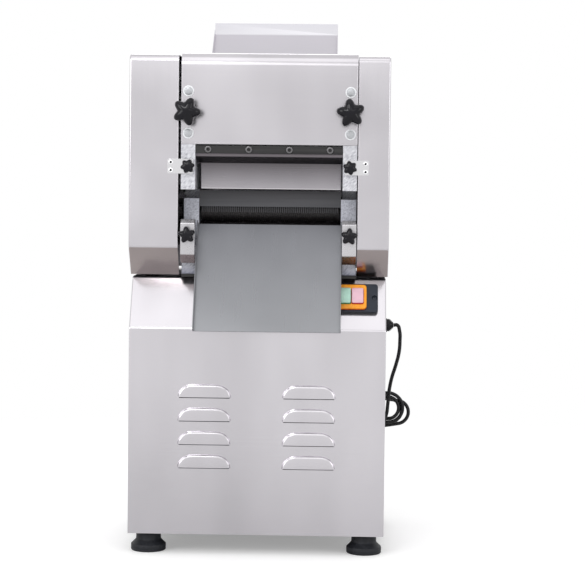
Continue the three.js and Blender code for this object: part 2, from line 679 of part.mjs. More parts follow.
function rightSideFrame() {
  const stub = rodX(countershaft.radius, [rightFrame[0], rightShaftEnd], idlerAxis, sides.shaft);
  return join(sideFrame(rightFrame), stub);
}

function bearingBlockSolid(x) {
  return alongX(rectangle(
    [frontRollerY - bearingBlock.width / 2, frontRollerY + bearingBlock.width / 2],
    [rollerZ - bearingBlock.height / 2, rollerZ + bearingBlock.height / 2],
  ), x, [bore(roller.journalRadius, frontAxis)]);
}

// Adjuster plate in the frame's pocket, with the two bolts that hold the front cover
function adjusterPlate(x) {
  const centre = (x[0] + x[1]) / 2;
  const plate = alongY(
    rectangle(x, [rollerZ - adjuster.height / 2, rollerZ + adjuster.height / 2]),
    [frameFront, frameFront + adjuster.depth],
    [bore(gapKnob.screwRadius, [centre, rollerZ])],
  );
  const bolts = [-1, 1].map((side) => {
    const place = [centre, rollerZ + (side * adjuster.boltPitch) / 2];
    const washerBack = headFront - seat;
    const washerFront = washerBack - adjuster.washer;
    return join(
      rodY(adjuster.boltRadius, [washerFront, frameFront + adjuster.depth / 2], place, sides.screw),
      rodY(adjuster.washerRadius, [washerFront, washerBack], place, sides.shaft),
      rodY(adjuster.headRadius, [washerFront - adjuster.head, washerFront], place, sides.screw),
    );
  });
  return join(plate, ...bolts);
}

// Covers
const coverX = [leftFrame[0], rightFrame[1] + seat];

function frontCover() {
  const opening = headFront + coverEdge.openingFront;
  const path = [
    [opening, headTop],
    ...arc([headFront + head.bend, headTop - head.bend], head.bend, Math.PI / 2, Math.PI, steps.bend),
    [headFront, frameBottom + coverEdge.bottom],
  ];
  const holes = [leftFrame, rightFrame].flatMap((x) => {
    const centre = (x[0] + x[1]) / 2;
    const y = [headFront, headFront + sheet];
    return [
      boreY(gapKnob.screwRadius, y, [centre, rollerZ]),
      boreY(adjuster.boltRadius, y, [centre, rollerZ - adjuster.boltPitch / 2]),
      boreY(adjuster.boltRadius, y, [centre, rollerZ + adjuster.boltPitch / 2]),
    ];
  });
  return cut(alongX(bentSheet(path), coverX), ...holes);
}

function rearCover() {
  const opening = headFront + coverEdge.openingRear;
  const path = [
    [headRear, plateTop + seat],
    ...arc([headRear - head.bend, headTop - head.bend], head.bend, 0, Math.PI / 2, steps.bend),
    [opening, headTop],
  ];
  return alongX(bentSheet(path), coverX);
}

function sideCoverSolid(outerX, innerX) {
  const top = headTop - sideCover.drop;
  const bottom = cabinetTop + sideCover.lift;
  const outline = (inset, drop) => rounded([
    [headFront + sideCover.kneeSetBack + inset, bottom - drop],
    [headFront + inset, bottom + sideCover.kneeHeight],
    [headFront + inset, top - inset, head.bend / 2 - inset],
    [headRear - inset, top - inset, head.bend / 2 - inset],
    [headRear - inset, bottom - drop],
  ]);
  const x = [Math.min(outerX, innerX), Math.max(outerX, innerX)];
  const toCentre = Math.sign(innerX - outerX);
  const hollowX = [outerX + toCentre * sheet, innerX + toCentre * overrun].sort((a, b) => a - b);
  return cut(alongX(outline(0, 0), x), alongX(outline(sheet, overrun), hollowX));
}

// The tab that the small knob clamps: an open slot faces the middle of the machine
function coverTab(edgeX, knobX) {
  const toCentre = Math.sign(knobX - edgeX);
  const [back, tip] = [edgeX - toCentre * tab.lap, knobX + toCentre * (tab.reach / 2)];
  const y = [headFront - tab.thickness, headFront + sheet / 2];
  const z = [coverKnobZ - tab.height / 2, coverKnobZ + tab.height / 2];
  const x = [back, tip].sort((a, b) => a - b);
  const slotRadius = coverKnob.screwRadius + runGap;
  const slot = block(
    [knobX, tip + toCentre * overrun].sort((a, b) => a - b),
    [y[0] - overrun, y[1] + overrun], [coverKnobZ - slotRadius, coverKnobZ + slotRadius],
  );
  const round = rodY(slotRadius, [y[0] - overrun, y[1] + overrun], [knobX, coverKnobZ], sides.shaft);
  const rivets = [-1, 1].map((side) => rodY(
    tab.rivetRadius, [y[0] - tab.rivetHeight, y[1]],
    [edgeX - toCentre * (tab.lap - 2 * tab.rivetRadius), coverKnobZ + (side * tab.rivetPitch) / 2], sides.screw,
  ));
  return cut(join(alongY(rectangle(x, z), y), ...rivets), slot, round);
}

function leftCover() {
  const edge = leftFrame[0] - sideCover.gapLeft;
  return join(sideCoverSolid(-headHalf, edge), coverTab(edge, (leftFrame[0] + leftFrame[1]) / 2));
}

function rightCover() {
  const edge = rightFrame[1] + sideCover.gapRight;
  return join(sideCoverSolid(headHalf, edge), coverTab(edge, (rightFrame[0] + rightFrame[1]) / 2));
}

// Knobs: the axis is local +Z, with the screw behind the origin and the grip in front of it
function knob(size, screwLength, phase) {
  const count = size.lobes * sides.lobe;
  const rim = (shrink) => Array.from({ length: count }, (_, i) => {
    const angle = (i / count) * 2 * Math.PI;
    const wave = (1 + Math.cos(size.lobes * (angle - phase))) / 2;
    const radius = size.radius * (size.valleyShare + (1 - size.valleyShare) * wave) - shrink;
    return new THREE.Vector2(radius * Math.cos(angle), radius * Math.sin(angle));
  });
  const bevel = size.grip / 6;
  const star = new THREE.ExtrudeGeometry(new THREE.Shape(rim(bevel)), {
    depth: size.grip - 2 * bevel, bevelThickness: bevel, bevelSize: bevel, bevelSegments: 1, steps: 1,
  }).translate(0, 0, size.hub + bevel);
  const stem = turnedZ([
    [0, -screwLength], [size.screwRadius, -screwLength], [size.screwRadius, 0], [size.hubRadius, 0],
    [size.hubRadius, size.hub + size.grip / 2], [0, size.hub + size.grip / 2],
  ], sides.shaft);
  return join(toSolid(star), stem);
}

function placedKnob(name, size, place, screwLength, phase) {
  const mesh = piece(name, knob(size, screwLength, THREE.MathUtils.degToRad(phase)), 'black');
  mesh.position.set(...place);
  mesh.rotation.x = Math.PI / 2;
  return mesh;
}

// Cutter unit
const blockFrontY = frameFront + cutter.blockFront;
const combY = [blockFrontY + sheet, blockFrontY + sheet + cutter.combThickness];

function cutterBlock(x) {
  const z = [slotBottomZ + seat, frameBottom + cutter.blockTop];
  const holes = [lowerCutterAxis, upperCutterAxis].map((axis) => bore(cutter.journalRadius, axis));
  return alongX(rectangle([blockFrontY, frameFront + cutter.blockBack], z), x, holes);
}

const leftBlockX = [leftFrame[0], leftFrame[1] + cutter.blockReach];
const rightBlockX = [rightFrame[0] - cutter.blockReach, rightFrame[1]];

// A grooved roller: discs of one roller run in the grooves of the other
function cutterRoller(axis, shift, shaftX, phase) {
  const left = leftBlockX[1] + cutter.sideGap;
  const right = rightBlockX[0] - cutter.sideGap;
  const root = cutter.outerRadius - cutter.grooveDepth;
  const first = workX - (cutter.discs * cutter.pitch) / 2 + shift;
  const rims = Array.from({ length: cutter.discs }, (_, i) => {
    const [from, to] = [first + i * cutter.pitch, first + i * cutter.pitch + cutter.discWidth];
    return [[root, from], [cutter.outerRadius, from], [cutter.outerRadius, to], [root, to]];
  }).flat();
  const body = turnedX([
    [0, shaftX[0]], [cutter.journalRadius, shaftX[0]], [cutter.journalRadius, left], [root, left],
    ...rims,
    [root, right], [cutter.journalRadius, right], [cutter.journalRadius, shaftX[1]], [0, shaftX[1]],
  ], axis, sides.cutter);
  const gearRight = leftFrame[0] - cutter.pairGap;
  const gear = alongX(
    gearOutline(teeth.cutterPair, pairModule, axis, phase), [gearRight - cutter.pairWidth, gearRight],
  );
  return join(body, gear);
}

const pairLeft = leftFrame[0] - cutter.pairGap - cutter.pairWidth;

// A stripper comb: a plate whose fingers reach into the grooves of its roller
function comb(axis, z, shift) {
  const x = [leftBlockX[1] + seat, rightBlockX[0] - seat];
  const clearRadius = cutter.outerRadius - cutter.grooveDepth + 2 * runGap;
  const fingerY = [combY[0], axis[0] - Math.sqrt(clearRadius ** 2 - cutter.fingerReach ** 2)];
  const fingerZ = [axis[1] - cutter.fingerReach, axis[1] + cutter.fingerReach];
  const first = workX - (cutter.discs * cutter.pitch) / 2 + shift + cutter.discWidth;
  const width = cutter.pitch - cutter.discWidth;
  const fingers = Array.from({ length: cutter.discs - 1 }, (_, i) => {
    const from = first + i * cutter.pitch + width / 4;
    return block([from, from + width / 2], fingerY, fingerZ);
  });
  return join(block(x, combY, z), ...fingers);
}

function keeperCap(x) {
  const front = frameFront + frame.noseSetBack - seat - keeper.depth;
  const back = noseY - seat;
  const bottom = frameBottom + keeper.bottom;
  const top = bottom + keeper.height;
  return cut(alongX([
    [back, bottom],
    [front, bottom + keeper.heel],
    [front, top - keeper.bevel],
    [front + keeper.bevel, top],
    [back, top],
  ], x), boreY(keeperKnob.screwRadius, [front, back], [(x[0] + x[1]) / 2, keeperKnobZ]));
}

// Front window
const betweenFrames = [leftFrame[1] + seat, rightFrame[0] - seat];

function frontCrossBar() {
  const bottom = frameBottom + crossBar.bottom;
  const y = [frameFront, frameFront + crossBar.depth];
  const bar = block(betweenFrames, y, [bottom, bottom + crossBar.height]);
  const screws = Array.from({ length: crossBar.screws }, (_, i) => rodY(
    crossBar.screwRadius, [frameFront - crossBar.screwHeight, frameFront],
    [workX + (i - (crossBar.screws - 1) / 2) * crossBar.screwPitch, bottom + crossBar.height / 2], sides.screw,
  ));
  return join(bar, ...screws);
}

function frontGuidePlate() {
  const back = frameFront + crossBar.depth + seat;
  const top = frameBottom + crossBar.bottom + crossBar.height;
  const shelfZ = frameBottom + crossBar.bottom - guide.shelfDrop / 2;
  return alongX(bentSheet([
    [back + guide.foot + sheet, frameBottom + guide.bottom],
    [back + guide.shelf, shelfZ - guide.shelfDrop],
    [back, shelfZ],
    [back, top],
  ].reverse()), betweenFrames);
}

function noodleChute() {
  const topPoint = [frameFront + chute.topSetBack, frameBottom + chute.top];
  const bottomPoint = [frameFront - chute.reach, frameBottom + chute.bottom];
  const angle = Math.atan2(topPoint[1] - bottomPoint[1], topPoint[0] - bottomPoint[0]);
  const out = [-Math.sin(angle), Math.cos(angle)];
  const raised = (point, rise) => [point[0] + out[0] * rise, point[1] + out[1] * rise];
  const outer = [bottomPoint, topPoint, raised(topPoint, chute.flange), raised(bottomPoint, chute.flange)];
  const beyond = (point, way) => [point[0] + way * Math.cos(angle), point[1] + way * Math.sin(angle)];
  const channel = [
    beyond(raised(bottomPoint, sheet), -overrun),
    beyond(raised(topPoint, sheet), overrun),
    beyond(raised(topPoint, chute.flange + overrun), overrun),
    beyond(raised(bottomPoint, chute.flange + overrun), -overrun),
  ];
  const x = [betweenFrames[0] + seat, betweenFrames[1] - seat];
  return cut(alongX(outer, x), alongX(channel, [x[0] + sheet, x[1] - sheet]));
}

// Feed tray above the rollers: its floor has low walls up to the bend, and a plain lip beyond it
function feedTray() {
  const start = [headFront + tray.startDepth, frameBottom + tray.startHeight];
  const bend = [headFront + tray.bendDepth, frameBottom + tray.bendHeight];
  const end = [headFront + tray.endDepth, frameBottom + tray.endHeight];
  const x = [betweenFrames[0] + tray.inset, betweenFrames[1] - tray.inset];
  const floor = alongX(bentSheet([start, bend, end]), x);
  const walls = [[x[0], x[0] + sheet], [x[1] - sheet, x[1]]].map(
    (side) => alongX(bentSheet([start, bend], tray.wall), side),
  );
  const length = Math.hypot(bend[0] - start[0], bend[1] - start[1]);
  const direction = Math.atan2(bend[1] - start[1], bend[0] - start[0]);
  const pins = tray.pinShares.map((share) => share * length).flatMap((along) => {
    const place = [
      start[0] + along * Math.cos(direction) - (Math.sin(direction) * tray.wall) / 2,
      start[1] + along * Math.sin(direction) + (Math.cos(direction) * tray.wall) / 2,
    ];
    const reaches = [[betweenFrames[0], x[0] + sheet / 2], [x[1] - sheet / 2, betweenFrames[1]]];
    return reaches.map((reach) => rodX(tray.pinRadius, reach, place, sides.screw));
  });
  return join(floor, ...walls, ...pins);
}

// A cheek that keeps the dough between the roller ends
function doughGuideSolid(x) {
  const middle = (frontRollerY + rearRollerY) / 2;
  const radius = roller.diameter / 2 + 2 * runGap;
  const top = rollerZ + roller.diameter / 2 + doughGuide.height / 2;
  const bottom = top - doughGuide.height - roller.diameter / 4;
  const wedge = alongX([
    [middle - doughGuide.topWidth / 2, top],
    [middle - doughGuide.topWidth / 2, rollerZ],
    [middle + doughGuide.topWidth / 2, rollerZ],
    [middle + doughGuide.topWidth / 2, top],
  ], x);
  const ways = [frontAxis, rearAxis].map((axis) => rodX(radius, through(x), axis, sides.roller));
  const low = block(through(x), [frontRollerY, rearRollerY], [rollerZ - overrun, bottom]);
  return cut(wedge, ...ways, low);
}

// Switch, in the frame of the slope: X across, Y up the slope, Z out of its face
function slopeGroup() {
  const group = new THREE.Group();
  group.position.set(...onSlope(panelX, panel.up, 0));
  group.rotation.x = slopeAngle;
  return group;
}

function switchPlate() {
  const plate = alongZ(rectangle(
    [-panel.width / 2, panel.width / 2], [-panel.height / 2, panel.height / 2], panel.corner,
  ), [seat, seat + panel.thickness]);
  const body = block(
    [-switchBody.width / 2, switchBody.width / 2], [-switchBody.height / 2, switchBody.height / 2],
    [-switchBody.depth, seat + panel.thickness / 2],
  );
  const screws = [-1, 1].map((side) => alongZ(
    circle(panel.screwRadius, [(side * panel.screwSpacing) / 2, 0], sides.screw),
    [seat + panel.thickness / 2, seat + panel.thickness + panel.screwRadius / 4],
  ));
  const wells = buttonPlaces.map((place) => alongZ(
    buttonOutline(place, runGap), [panel.thickness - button.stem - button.travel, panel.thickness + overrun],
  ));
  return cut(join(plate, body, ...screws), ...wells);
}

const buttonPlaces = [-button.spacing / 2, button.spacing / 2];
const bezelTop = seat + panel.thickness + seat + bezel.rise;

function buttonOutline(centre, grow) {
  return rectangle(
    [centre - button.width / 2 - grow, centre + button.width / 2 + grow],
    [-button.height / 2 - grow, button.height / 2 + grow], button.corner, steps.button,
  );
}

function bezelRing() {
  const wells = buttonPlaces.map((place) => buttonOutline(place, runGap));
  return alongZ(rectangle(
    [-bezel.width / 2, bezel.width / 2], [-bezel.height / 2, bezel.height / 2], bezel.corner,
  ), [bezelTop - bezel.rise, bezelTop], wells);
}

function buttonSolid(centre) {
  return alongZ(buttonOutline(centre, 0), [seat + panel.thickness - button.stem, bezelTop + button.rise]);
}

// Cord pieces
const glandY = cabinet.frontY + gland.setBack;
const glandZ = cabinet.floorZ + gland.height;
const glandTip = cabinetHalf + seat + gland.hex + gland.dome;

function glandSolid() {
  const face = cabinetHalf + seat;
  const inside = cabinetHalf - sheet - seat;
  const neck = gland.domeRadius - runGap;
  const hex = rodX(gland.hexRadius, [face, face + gland.hex], [glandY, glandZ], sides.hex);
  const [shoulder, along] = gland.shoulderShares;
  const dome = turnedX([
    [0, inside - gland.nut], [neck, inside - gland.nut], [neck, face + gland.hex + gland.dome / 2],
    [neck * shoulder, face + gland.hex + gland.dome * along], [neck / 2, glandTip], [0, glandTip],
  ], [glandY, glandZ], sides.shaft);
  const nut = rodX(gland.hexRadius, [inside - gland.nut, inside], [glandY, glandZ], sides.hex);
  return join(hex, dome, nut);
}

// The free stretch from the gland down to the hank: shares of the way across, back and down
const cordGap = 0.3;
const dropShares = [
  [-0.477, 0.034, 0.053],
  [-0.528, 0.124, 0.154],
  [-0.477, 0.236, 0.264],
  [-0.255, 0.382, 0.388],
  [0.036, 0.528, 0.515],
  [0.224, 0.674, 0.652],
  [0.326, 0.82, 0.789],
  [0.429, 0.876, 0.89],
  [0.617, 0.899, 0.965],
  [0.822, 0.955, 0.999],
];

function dropRoute() {
  const start = new THREE.Vector3(glandTip + cordGap, glandY, glandZ);
  const end = new THREE.Vector3(hank.start + cordGap, hank.frontY, hank.centreZ - hank.endRadius);
  const straightStart = start.clone().setX(start.x + cord.diameter);
  const straightEnd = end.clone().setX(end.x + cord.diameter);
  const way = straightEnd.clone().sub(start);
  const between = dropShares.map((shares) => new THREE.Vector3(...shares).multiply(way).add(start));
  return [start, straightStart, ...between, straightEnd, end];
}

function cordDrop() {
  const curve = new THREE.CatmullRomCurve3(dropRoute());
  const section = circle(cord.diameter / 2, [0, 0], sides.cord).map(([a, b]) => new THREE.Vector2(a, b));
  return toSolid(new THREE.ExtrudeGeometry(new THREE.Shape(section), { steps: steps.drop, extrudePath: curve }));
}

// The hank: a tube that spirals in, climbs one layer along a run and spirals out again
function hankLine() {
  const { loops, arcSteps, runSteps } = hankCount;
  const perLoop = 2 * (arcSteps + runSteps);
  const [left, right] = [hank.centreX - hank.run, hank.centreX + hank.run];
  const startShare = (right - hank.start) / (right - left);
  const startStep = startShare * runSteps;
  const points = [new THREE.Vector3(hank.start, hank.frontY, hank.centreZ - hank.endRadius)];
  const first = Math.floor(startStep) + 1;
  for (let i = first; i <= loops * perLoop + Math.floor(startStep); i += 1) {
    const turns = (i - startStep) / perLoop;
    const inward = Math.min(turns, loops - turns);
    const radius = hank.endRadius - hank.step * Math.max(inward, 0);
    const phase = i % perLoop;
    const climb = THREE.MathUtils.clamp(((i - startStep) - (loops / 2) * perLoop) / runSteps + 1 / 2, 0, 1);
    const y = hank.frontY + hank.layerStep * climb;
    points.push(loopPoint(phase, radius, y, left, right));
  }
  const leaving = points[points.length - 1].clone();
  for (let i = 1; i <= steps.tail; i += 1) {
    const share = i / steps.tail;
    const ease = (1 - Math.cos(Math.PI * share)) / 2;
    points.push(new THREE.Vector3(leaving.x - tail.length * share, leaving.y + tail.shiftY * ease, leaving.z));
  }
  const end = points[points.length - 1].clone();
  points.push(new THREE.Vector3(end.x - cord.diameter, end.y, end.z));
  return points;
}

function loopPoint(phase, radius, y, left, right) {
  const { arcSteps, runSteps } = hankCount;
  const drawn = (x) => {
    const away = Math.min(Math.abs(x - waistX) / waist.reach, 1);
    return radius - (waist.draw * (1 + Math.cos(Math.PI * away))) / 2;
  };
  if (phase <= runSteps) {
    const x = right - ((right - left) * phase) / runSteps;
    return new THREE.Vector3(x, y, hank.centreZ - drawn(x));
  }
  if (phase <= runSteps + arcSteps) {
    const angle = -Math.PI / 2 - (Math.PI * (phase - runSteps)) / arcSteps;
    return new THREE.Vector3(left + radius * Math.cos(angle), y, hank.centreZ + radius * Math.sin(angle));
  }
  if (phase <= 2 * runSteps + arcSteps) {
    const x = left + ((right - left) * (phase - runSteps - arcSteps)) / runSteps;
    return new THREE.Vector3(x, y, hank.centreZ + drawn(x));
  }
  const angle = Math.PI / 2 - (Math.PI * (phase - 2 * runSteps - arcSteps)) / arcSteps;
  return new THREE.Vector3(right + radius * Math.cos(angle), y, hank.centreZ + radius * Math.sin(angle));
}

// One tube along a line of points, with rings square to it
function tubeAlong(points, radius, count) {
  const positions = [];
  points.forEach((point, i) => {
    const before = points[Math.max(i - 1, 0)];
    const after = points[Math.min(i + 1, points.length - 1)];
    const ahead = after.clone().sub(before).normalize();
    const side = new THREE.Vector3(0, 1, 0).addScaledVector(ahead, -ahead.y).normalize();
    const up = new THREE.Vector3().crossVectors(ahead, side);
    circle(radius, [0, 0], count).forEach(([a, b]) => {
      positions.push(...point.clone().addScaledVector(side, a).addScaledVector(up, b).toArray());
    });
  });
  const triangles = [];
  for (let ring = 0; ring < points.length - 1; ring += 1) {
    for (let i = 0; i < count; i += 1) {
      const [a, b] = [ring * count + i, ring * count + ((i + 1) % count)];
      triangles.push(a, b, a + count, b, b + count, a + count);
    }
  }
  const last = (points.length - 1) * count;
  for (let i = 1; i < count - 1; i += 1) {
    triangles.push(0, i + 1, i, last, last + i, last + i + 1);
  }
  const geometry = new THREE.BufferGeometry();
  geometry.setAttribute('position', new THREE.Float32BufferAttribute(positions, 3));
  geometry.setIndex(triangles);
  return geometry;
}

// The least gap that a tube leaves to itself, between stretches that lie further apart along it
function leastSelfGap(points, diameter) {
  const fine = new THREE.CatmullRomCurve3(points, false, 'centripetal').getSpacedPoints(points.length * 6);
  const spacing = fine[0].distanceTo(fine[1]);
  const apart = Math.ceil((4 * diameter) / spacing);
  let least = Infinity;
  for (let i = 0; i < fine.length; i += 1) {
    for (let j = i + apart; j < fine.length; j += 1) least = Math.min(least, fine[i].distanceTo(fine[j]));
  }
  return least - diameter;
}

const hankPoints = hankLine();
console.log(`least gap of the hank to itself: ${leastSelfGap(hankPoints, cord.diameter).toFixed(2)} mm`);

function hankTie() {
  const half = hank.endRadius - waist.draw + cord.diameter / 2 + tie.slack;
  const around = cord.diameter / 2 + tie.gap;
  const y = [hank.frontY - around, hank.frontY + hank.layerStep + around];
  const z = [hank.centreZ - half, hank.centreZ + half];
  const x = [waistX - tie.width / 2, waistX + tie.width / 2];
  const grown = ([from, to]) => [from - tie.thickness, to + tie.thickness];
  return alongX(rectangle(grown(y), grown(z), 2 * tie.thickness), x, [rectangle(y, z, tie.thickness)]);
}

function mainsPlug() {
  const end = hankPoints[hankPoints.length - 1];
  const start = end.x - cordGap;
  const axis = [end.y, end.z];
  const collarEnd = start - plug.collar;
  const face = collarEnd - plug.length;
  const body = turnedX([
    [0, start], [plug.neckRadius, start], [plug.collarRadius, collarEnd],
    [plug.radius, collarEnd - plug.collarRadius], [plug.radius, face], [0, face],
  ], axis, sides.shaft);
  const pins = [-1, 1].map((side) => {
    const place = [axis[0], axis[1] + (side * plug.pinSpacing) / 2];
    return rodX(plug.pinRadius, [face - plug.pinLength, face + plug.pinRadius], place, sides.screw);
  });
  return join(body, ...pins);
}

// Assembly
function cabinetGroup() {
  const group = new THREE.Group();
  group.add(piece('cabinet_shell', cabinetShell(), 'brushed'));
  group.add(piece('cabinet_back_panel', backPanel(), 'brushed'));
  group.add(piece('base_frame', chassisTray(), 'dark'));
  for (const [name, [x, y]] of Object.entries(footPlaces)) {
    const mesh = piece(name, footSolid(), 'rubber');
    mesh.position.set(x, y, 0);
    group.add(mesh);
  }
  return group;
}

function driveGroup() {
  const group = new THREE.Group();
  const rightX = [rightGearX, rightGearX + rightBay.gearWidth];
  const bullWidth = [bullX, bullX + leftBay.gearWidth];
  group.add(piece('motor_body', motorBody(), 'paint'));
  group.add(piece('motor_pulley', motorPulley(), 'cast'));
  group.add(piece('drive_belt', driveBelt(), 'rubber'));
  const largePulley = pulleySolid(counterAxis, pulley.largeRadius, countershaft.radius);
  group.add(piece('large_pulley', largePulley, 'cast'));
  group.add(piece('countershaft_pinion', countershaftPinion(), 'steel'));
  const bull = gearSolid(teeth.bull, rearAxis, bullPhase, bullWidth, roller.journalRadius);
  group.add(piece('bull_gear', lightened(bull, teeth.bull, rearAxis, roller.journalRadius, bullWidth), 'steel'));
  group.add(piece('rear_roller_gear', gearSolid(
    teeth.roller, rearAxis, rearPhase, rightX, roller.journalRadius, tooth.longAddendumShare,
  ), 'steel'));
  group.add(piece('front_roller_gear', gearSolid(
    teeth.roller, frontAxis, frontPhase, rightX, roller.journalRadius, tooth.longAddendumShare,
  ), 'steel'));
  const idler = gearSolid(idlerTeeth, idlerAxis, idlerPhase, rightX, countershaft.radius);
  group.add(piece('idler_gear', lightened(idler, idlerTeeth, idlerAxis, countershaft.radius, rightX), 'steel'));
  group.add(piece('cutter_drive_gear', gearSolid(
    teeth.cutterDrive, lowerCutterAxis, cutterDrivePhase, rightX, cutter.journalRadius,
  ), 'steel'));
  return group;
}

function headGroup() {
  const group = new THREE.Group();
  group.add(piece('head_base_plate', block(
    [leftFrame[0], rightFrame[1]], [headFront + head.plateInset, headRear - overrun], [cabinetTop + seat, plateTop],
  ), 'dark'));
  group.add(piece('side_frame_left', leftSideFrame(), 'milled'));
  group.add(piece('side_frame_right', rightSideFrame(), 'milled'));
  group.add(piece('bearing_block_left', bearingBlockSolid(leftFrame), 'cast'));
  group.add(piece('bearing_block_right', bearingBlockSolid(rightFrame), 'cast'));
  group.add(piece('rear_roller', rollerSolid(rearAxis, bullX - rightBay.stub), 'steel'));
  group.add(piece('front_roller', rollerSolid(frontAxis, leftFrame[0] - roller.sideGap), 'steel'));
  group.add(piece('adjuster_plate_left', adjusterPlate(leftFrame), 'steel'));
  group.add(piece('adjuster_plate_right', adjusterPlate(rightFrame), 'steel'));
  group.add(piece('front_cover', frontCover(), 'brushed'));
  group.add(piece('rear_cover', rearCover(), 'brushed'));
  group.add(piece('left_cover', leftCover(), 'brushed'));
  group.add(piece('right_cover', rightCover(), 'brushed'));
  group.add(piece('front_cross_bar', frontCrossBar(), 'dark'));
  group.add(piece('front_guide_plate', frontGuidePlate(), 'brushed'));
  group.add(piece('noodle_chute', noodleChute(), 'brushed'));
  group.add(piece('feed_tray', feedTray(), 'brushed'));
  const [innerLeft, innerRight] = betweenFrames;
  group.add(piece('dough_guide_left', doughGuideSolid([innerLeft, innerLeft + doughGuide.thickness]), 'steel'));
  group.add(piece('dough_guide_right', doughGuideSolid([innerRight - doughGuide.thickness, innerRight]), 'steel'));
  return group;
}

function cutterGroup() {
  const group = new THREE.Group();
  group.add(piece('cutter_block_left', cutterBlock(leftBlockX), 'cast'));
  group.add(piece('cutter_block_right', cutterBlock(rightBlockX), 'cast'));
  group.add(piece('lower_cutter', cutterRoller(lowerCutterAxis, 0, [pairLeft, rightShaftEnd], 0), 'dark'));
  group.add(piece('upper_cutter', cutterRoller(
    upperCutterAxis, cutter.pitch / 2, [pairLeft, rightFrame[1]], upperPairPhase,
  ), 'dark'));
  group.add(piece('upper_comb', comb(
    upperCutterAxis, [upperCutterZ, frameBottom + cutter.combTop], cutter.pitch / 2,
  ), 'steel'));
  group.add(piece('lower_comb', comb(lowerCutterAxis, [slotBottomZ + seat, lowerCutterZ], 0), 'steel'));
  group.add(piece('keeper_cap_left', keeperCap(leftFrame), 'brushed'));
  group.add(piece('keeper_cap_right', keeperCap(rightFrame), 'brushed'));
  return group;
}

function knobGroup() {
  const group = new THREE.Group();
  const gapBack = headFront - overrun - roller.travel;
  const gapScrew = frontRollerY - bearingBlock.width / 2 - runGap - gapBack;
  const tabFace = headFront - tab.thickness - seat;
  const coverScrew = frameFront + coverKnobDepth - runGap - tabFace;
  const capFront = noseY - seat - keeper.depth - seat;
  const keeperScrew = blockFrontY - runGap - capFront;
  for (const [side, x] of [['left', leftFrame], ['right', rightFrame]]) {
    const centre = (x[0] + x[1]) / 2;
    const turn = knobTurns[side];
    group.add(placedKnob(`gap_knob_${side}`, gapKnob, [centre, gapBack, rollerZ], gapScrew, turn.gap));
    group.add(placedKnob(`cover_knob_${side}`, coverKnob, [centre, tabFace, coverKnobZ], coverScrew, turn.cover));
    group.add(placedKnob(`keeper_knob_${side}`, keeperKnob, [centre, capFront, keeperKnobZ], keeperScrew, turn.keeper));
  }
  return group;
}

function switchGroup() {
  const group = slopeGroup();
  group.add(piece('switch_plate', switchPlate(), 'dark'));
  group.add(piece('switch_bezel', bezelRing(), 'orange'));
  group.add(piece('start_button', buttonSolid(buttonPlaces[0]), 'green'));
  group.add(piece('stop_button', buttonSolid(buttonPlaces[1]), 'red'));
  return group;
}

function cordGroup() {
  const group = new THREE.Group();
  group.add(piece('cable_gland', glandSolid(), 'black'));
  group.add(piece('cord_drop', cordDrop(), 'rubber'));
  group.add(piece('cord_hank', toSolid(tubeAlong(hankPoints, cord.diameter / 2, sides.hank)), 'rubber'));
  group.add(piece('hank_tie', hankTie(), 'black'));
  group.add(piece('mains_plug', mainsPlug(), 'black'));
  return group;
}

const machine = new THREE.Group();
machine.add(cabinetGroup(), driveGroup(), headGroup(), cutterGroup(), knobGroup(), switchGroup(), cordGroup());

export default machine;
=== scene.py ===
import json
import math

import bmesh
import bpy
from mathutils import Matrix, Vector


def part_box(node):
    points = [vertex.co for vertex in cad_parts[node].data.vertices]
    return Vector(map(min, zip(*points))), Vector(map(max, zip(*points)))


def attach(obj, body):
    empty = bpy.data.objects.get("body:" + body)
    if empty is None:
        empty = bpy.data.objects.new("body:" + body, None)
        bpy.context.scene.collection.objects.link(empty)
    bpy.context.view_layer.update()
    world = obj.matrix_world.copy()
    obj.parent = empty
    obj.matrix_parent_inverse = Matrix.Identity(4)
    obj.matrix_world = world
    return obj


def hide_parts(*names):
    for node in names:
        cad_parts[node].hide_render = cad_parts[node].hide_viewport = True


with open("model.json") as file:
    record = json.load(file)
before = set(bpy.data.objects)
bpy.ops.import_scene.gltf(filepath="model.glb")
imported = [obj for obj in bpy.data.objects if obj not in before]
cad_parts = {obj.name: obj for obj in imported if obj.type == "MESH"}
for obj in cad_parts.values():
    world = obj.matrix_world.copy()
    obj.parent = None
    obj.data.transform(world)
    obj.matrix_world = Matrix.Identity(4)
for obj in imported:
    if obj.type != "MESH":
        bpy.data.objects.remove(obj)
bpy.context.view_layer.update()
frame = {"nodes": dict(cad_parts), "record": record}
record = frame["record"]
slotOfNode = {row["node"]: row["material_slot"] for row in record["subparts"]}
bodyOfNode = {node: body for body, nodes in record["behaviour"]["bodies"].items() for node in nodes}

# Lengths in the settings are millimetres; Blender's are metres
mm = 0.001

# Camera at the photograph's viewing angle
view = {
    "location": (140.6, -3466.5, 681.5), "yaw": 1.399, "pitch": -2.574, "roll": 0.632,
    "lens": 116.6, "shift": -0.0684, "sensor": 36,
}
cameraData = bpy.data.cameras.new("camera")
cameraData.sensor_width = view["sensor"]
cameraData.lens = view["lens"]
cameraData.shift_y = view["shift"]
camera = bpy.data.objects.new("camera", cameraData)
bpy.context.scene.collection.objects.link(camera)
camera.matrix_world = (
    Matrix.Translation(Vector(view["location"]) * mm)
    @ Matrix.Rotation(math.radians(view["yaw"]), 4, "Z")
    @ Matrix.Rotation(math.radians(90 + view["pitch"]), 4, "X")
    @ Matrix.Rotation(math.radians(view["roll"]), 4, "Z")
)
bpy.context.scene.camera = camera
print("camera placed")


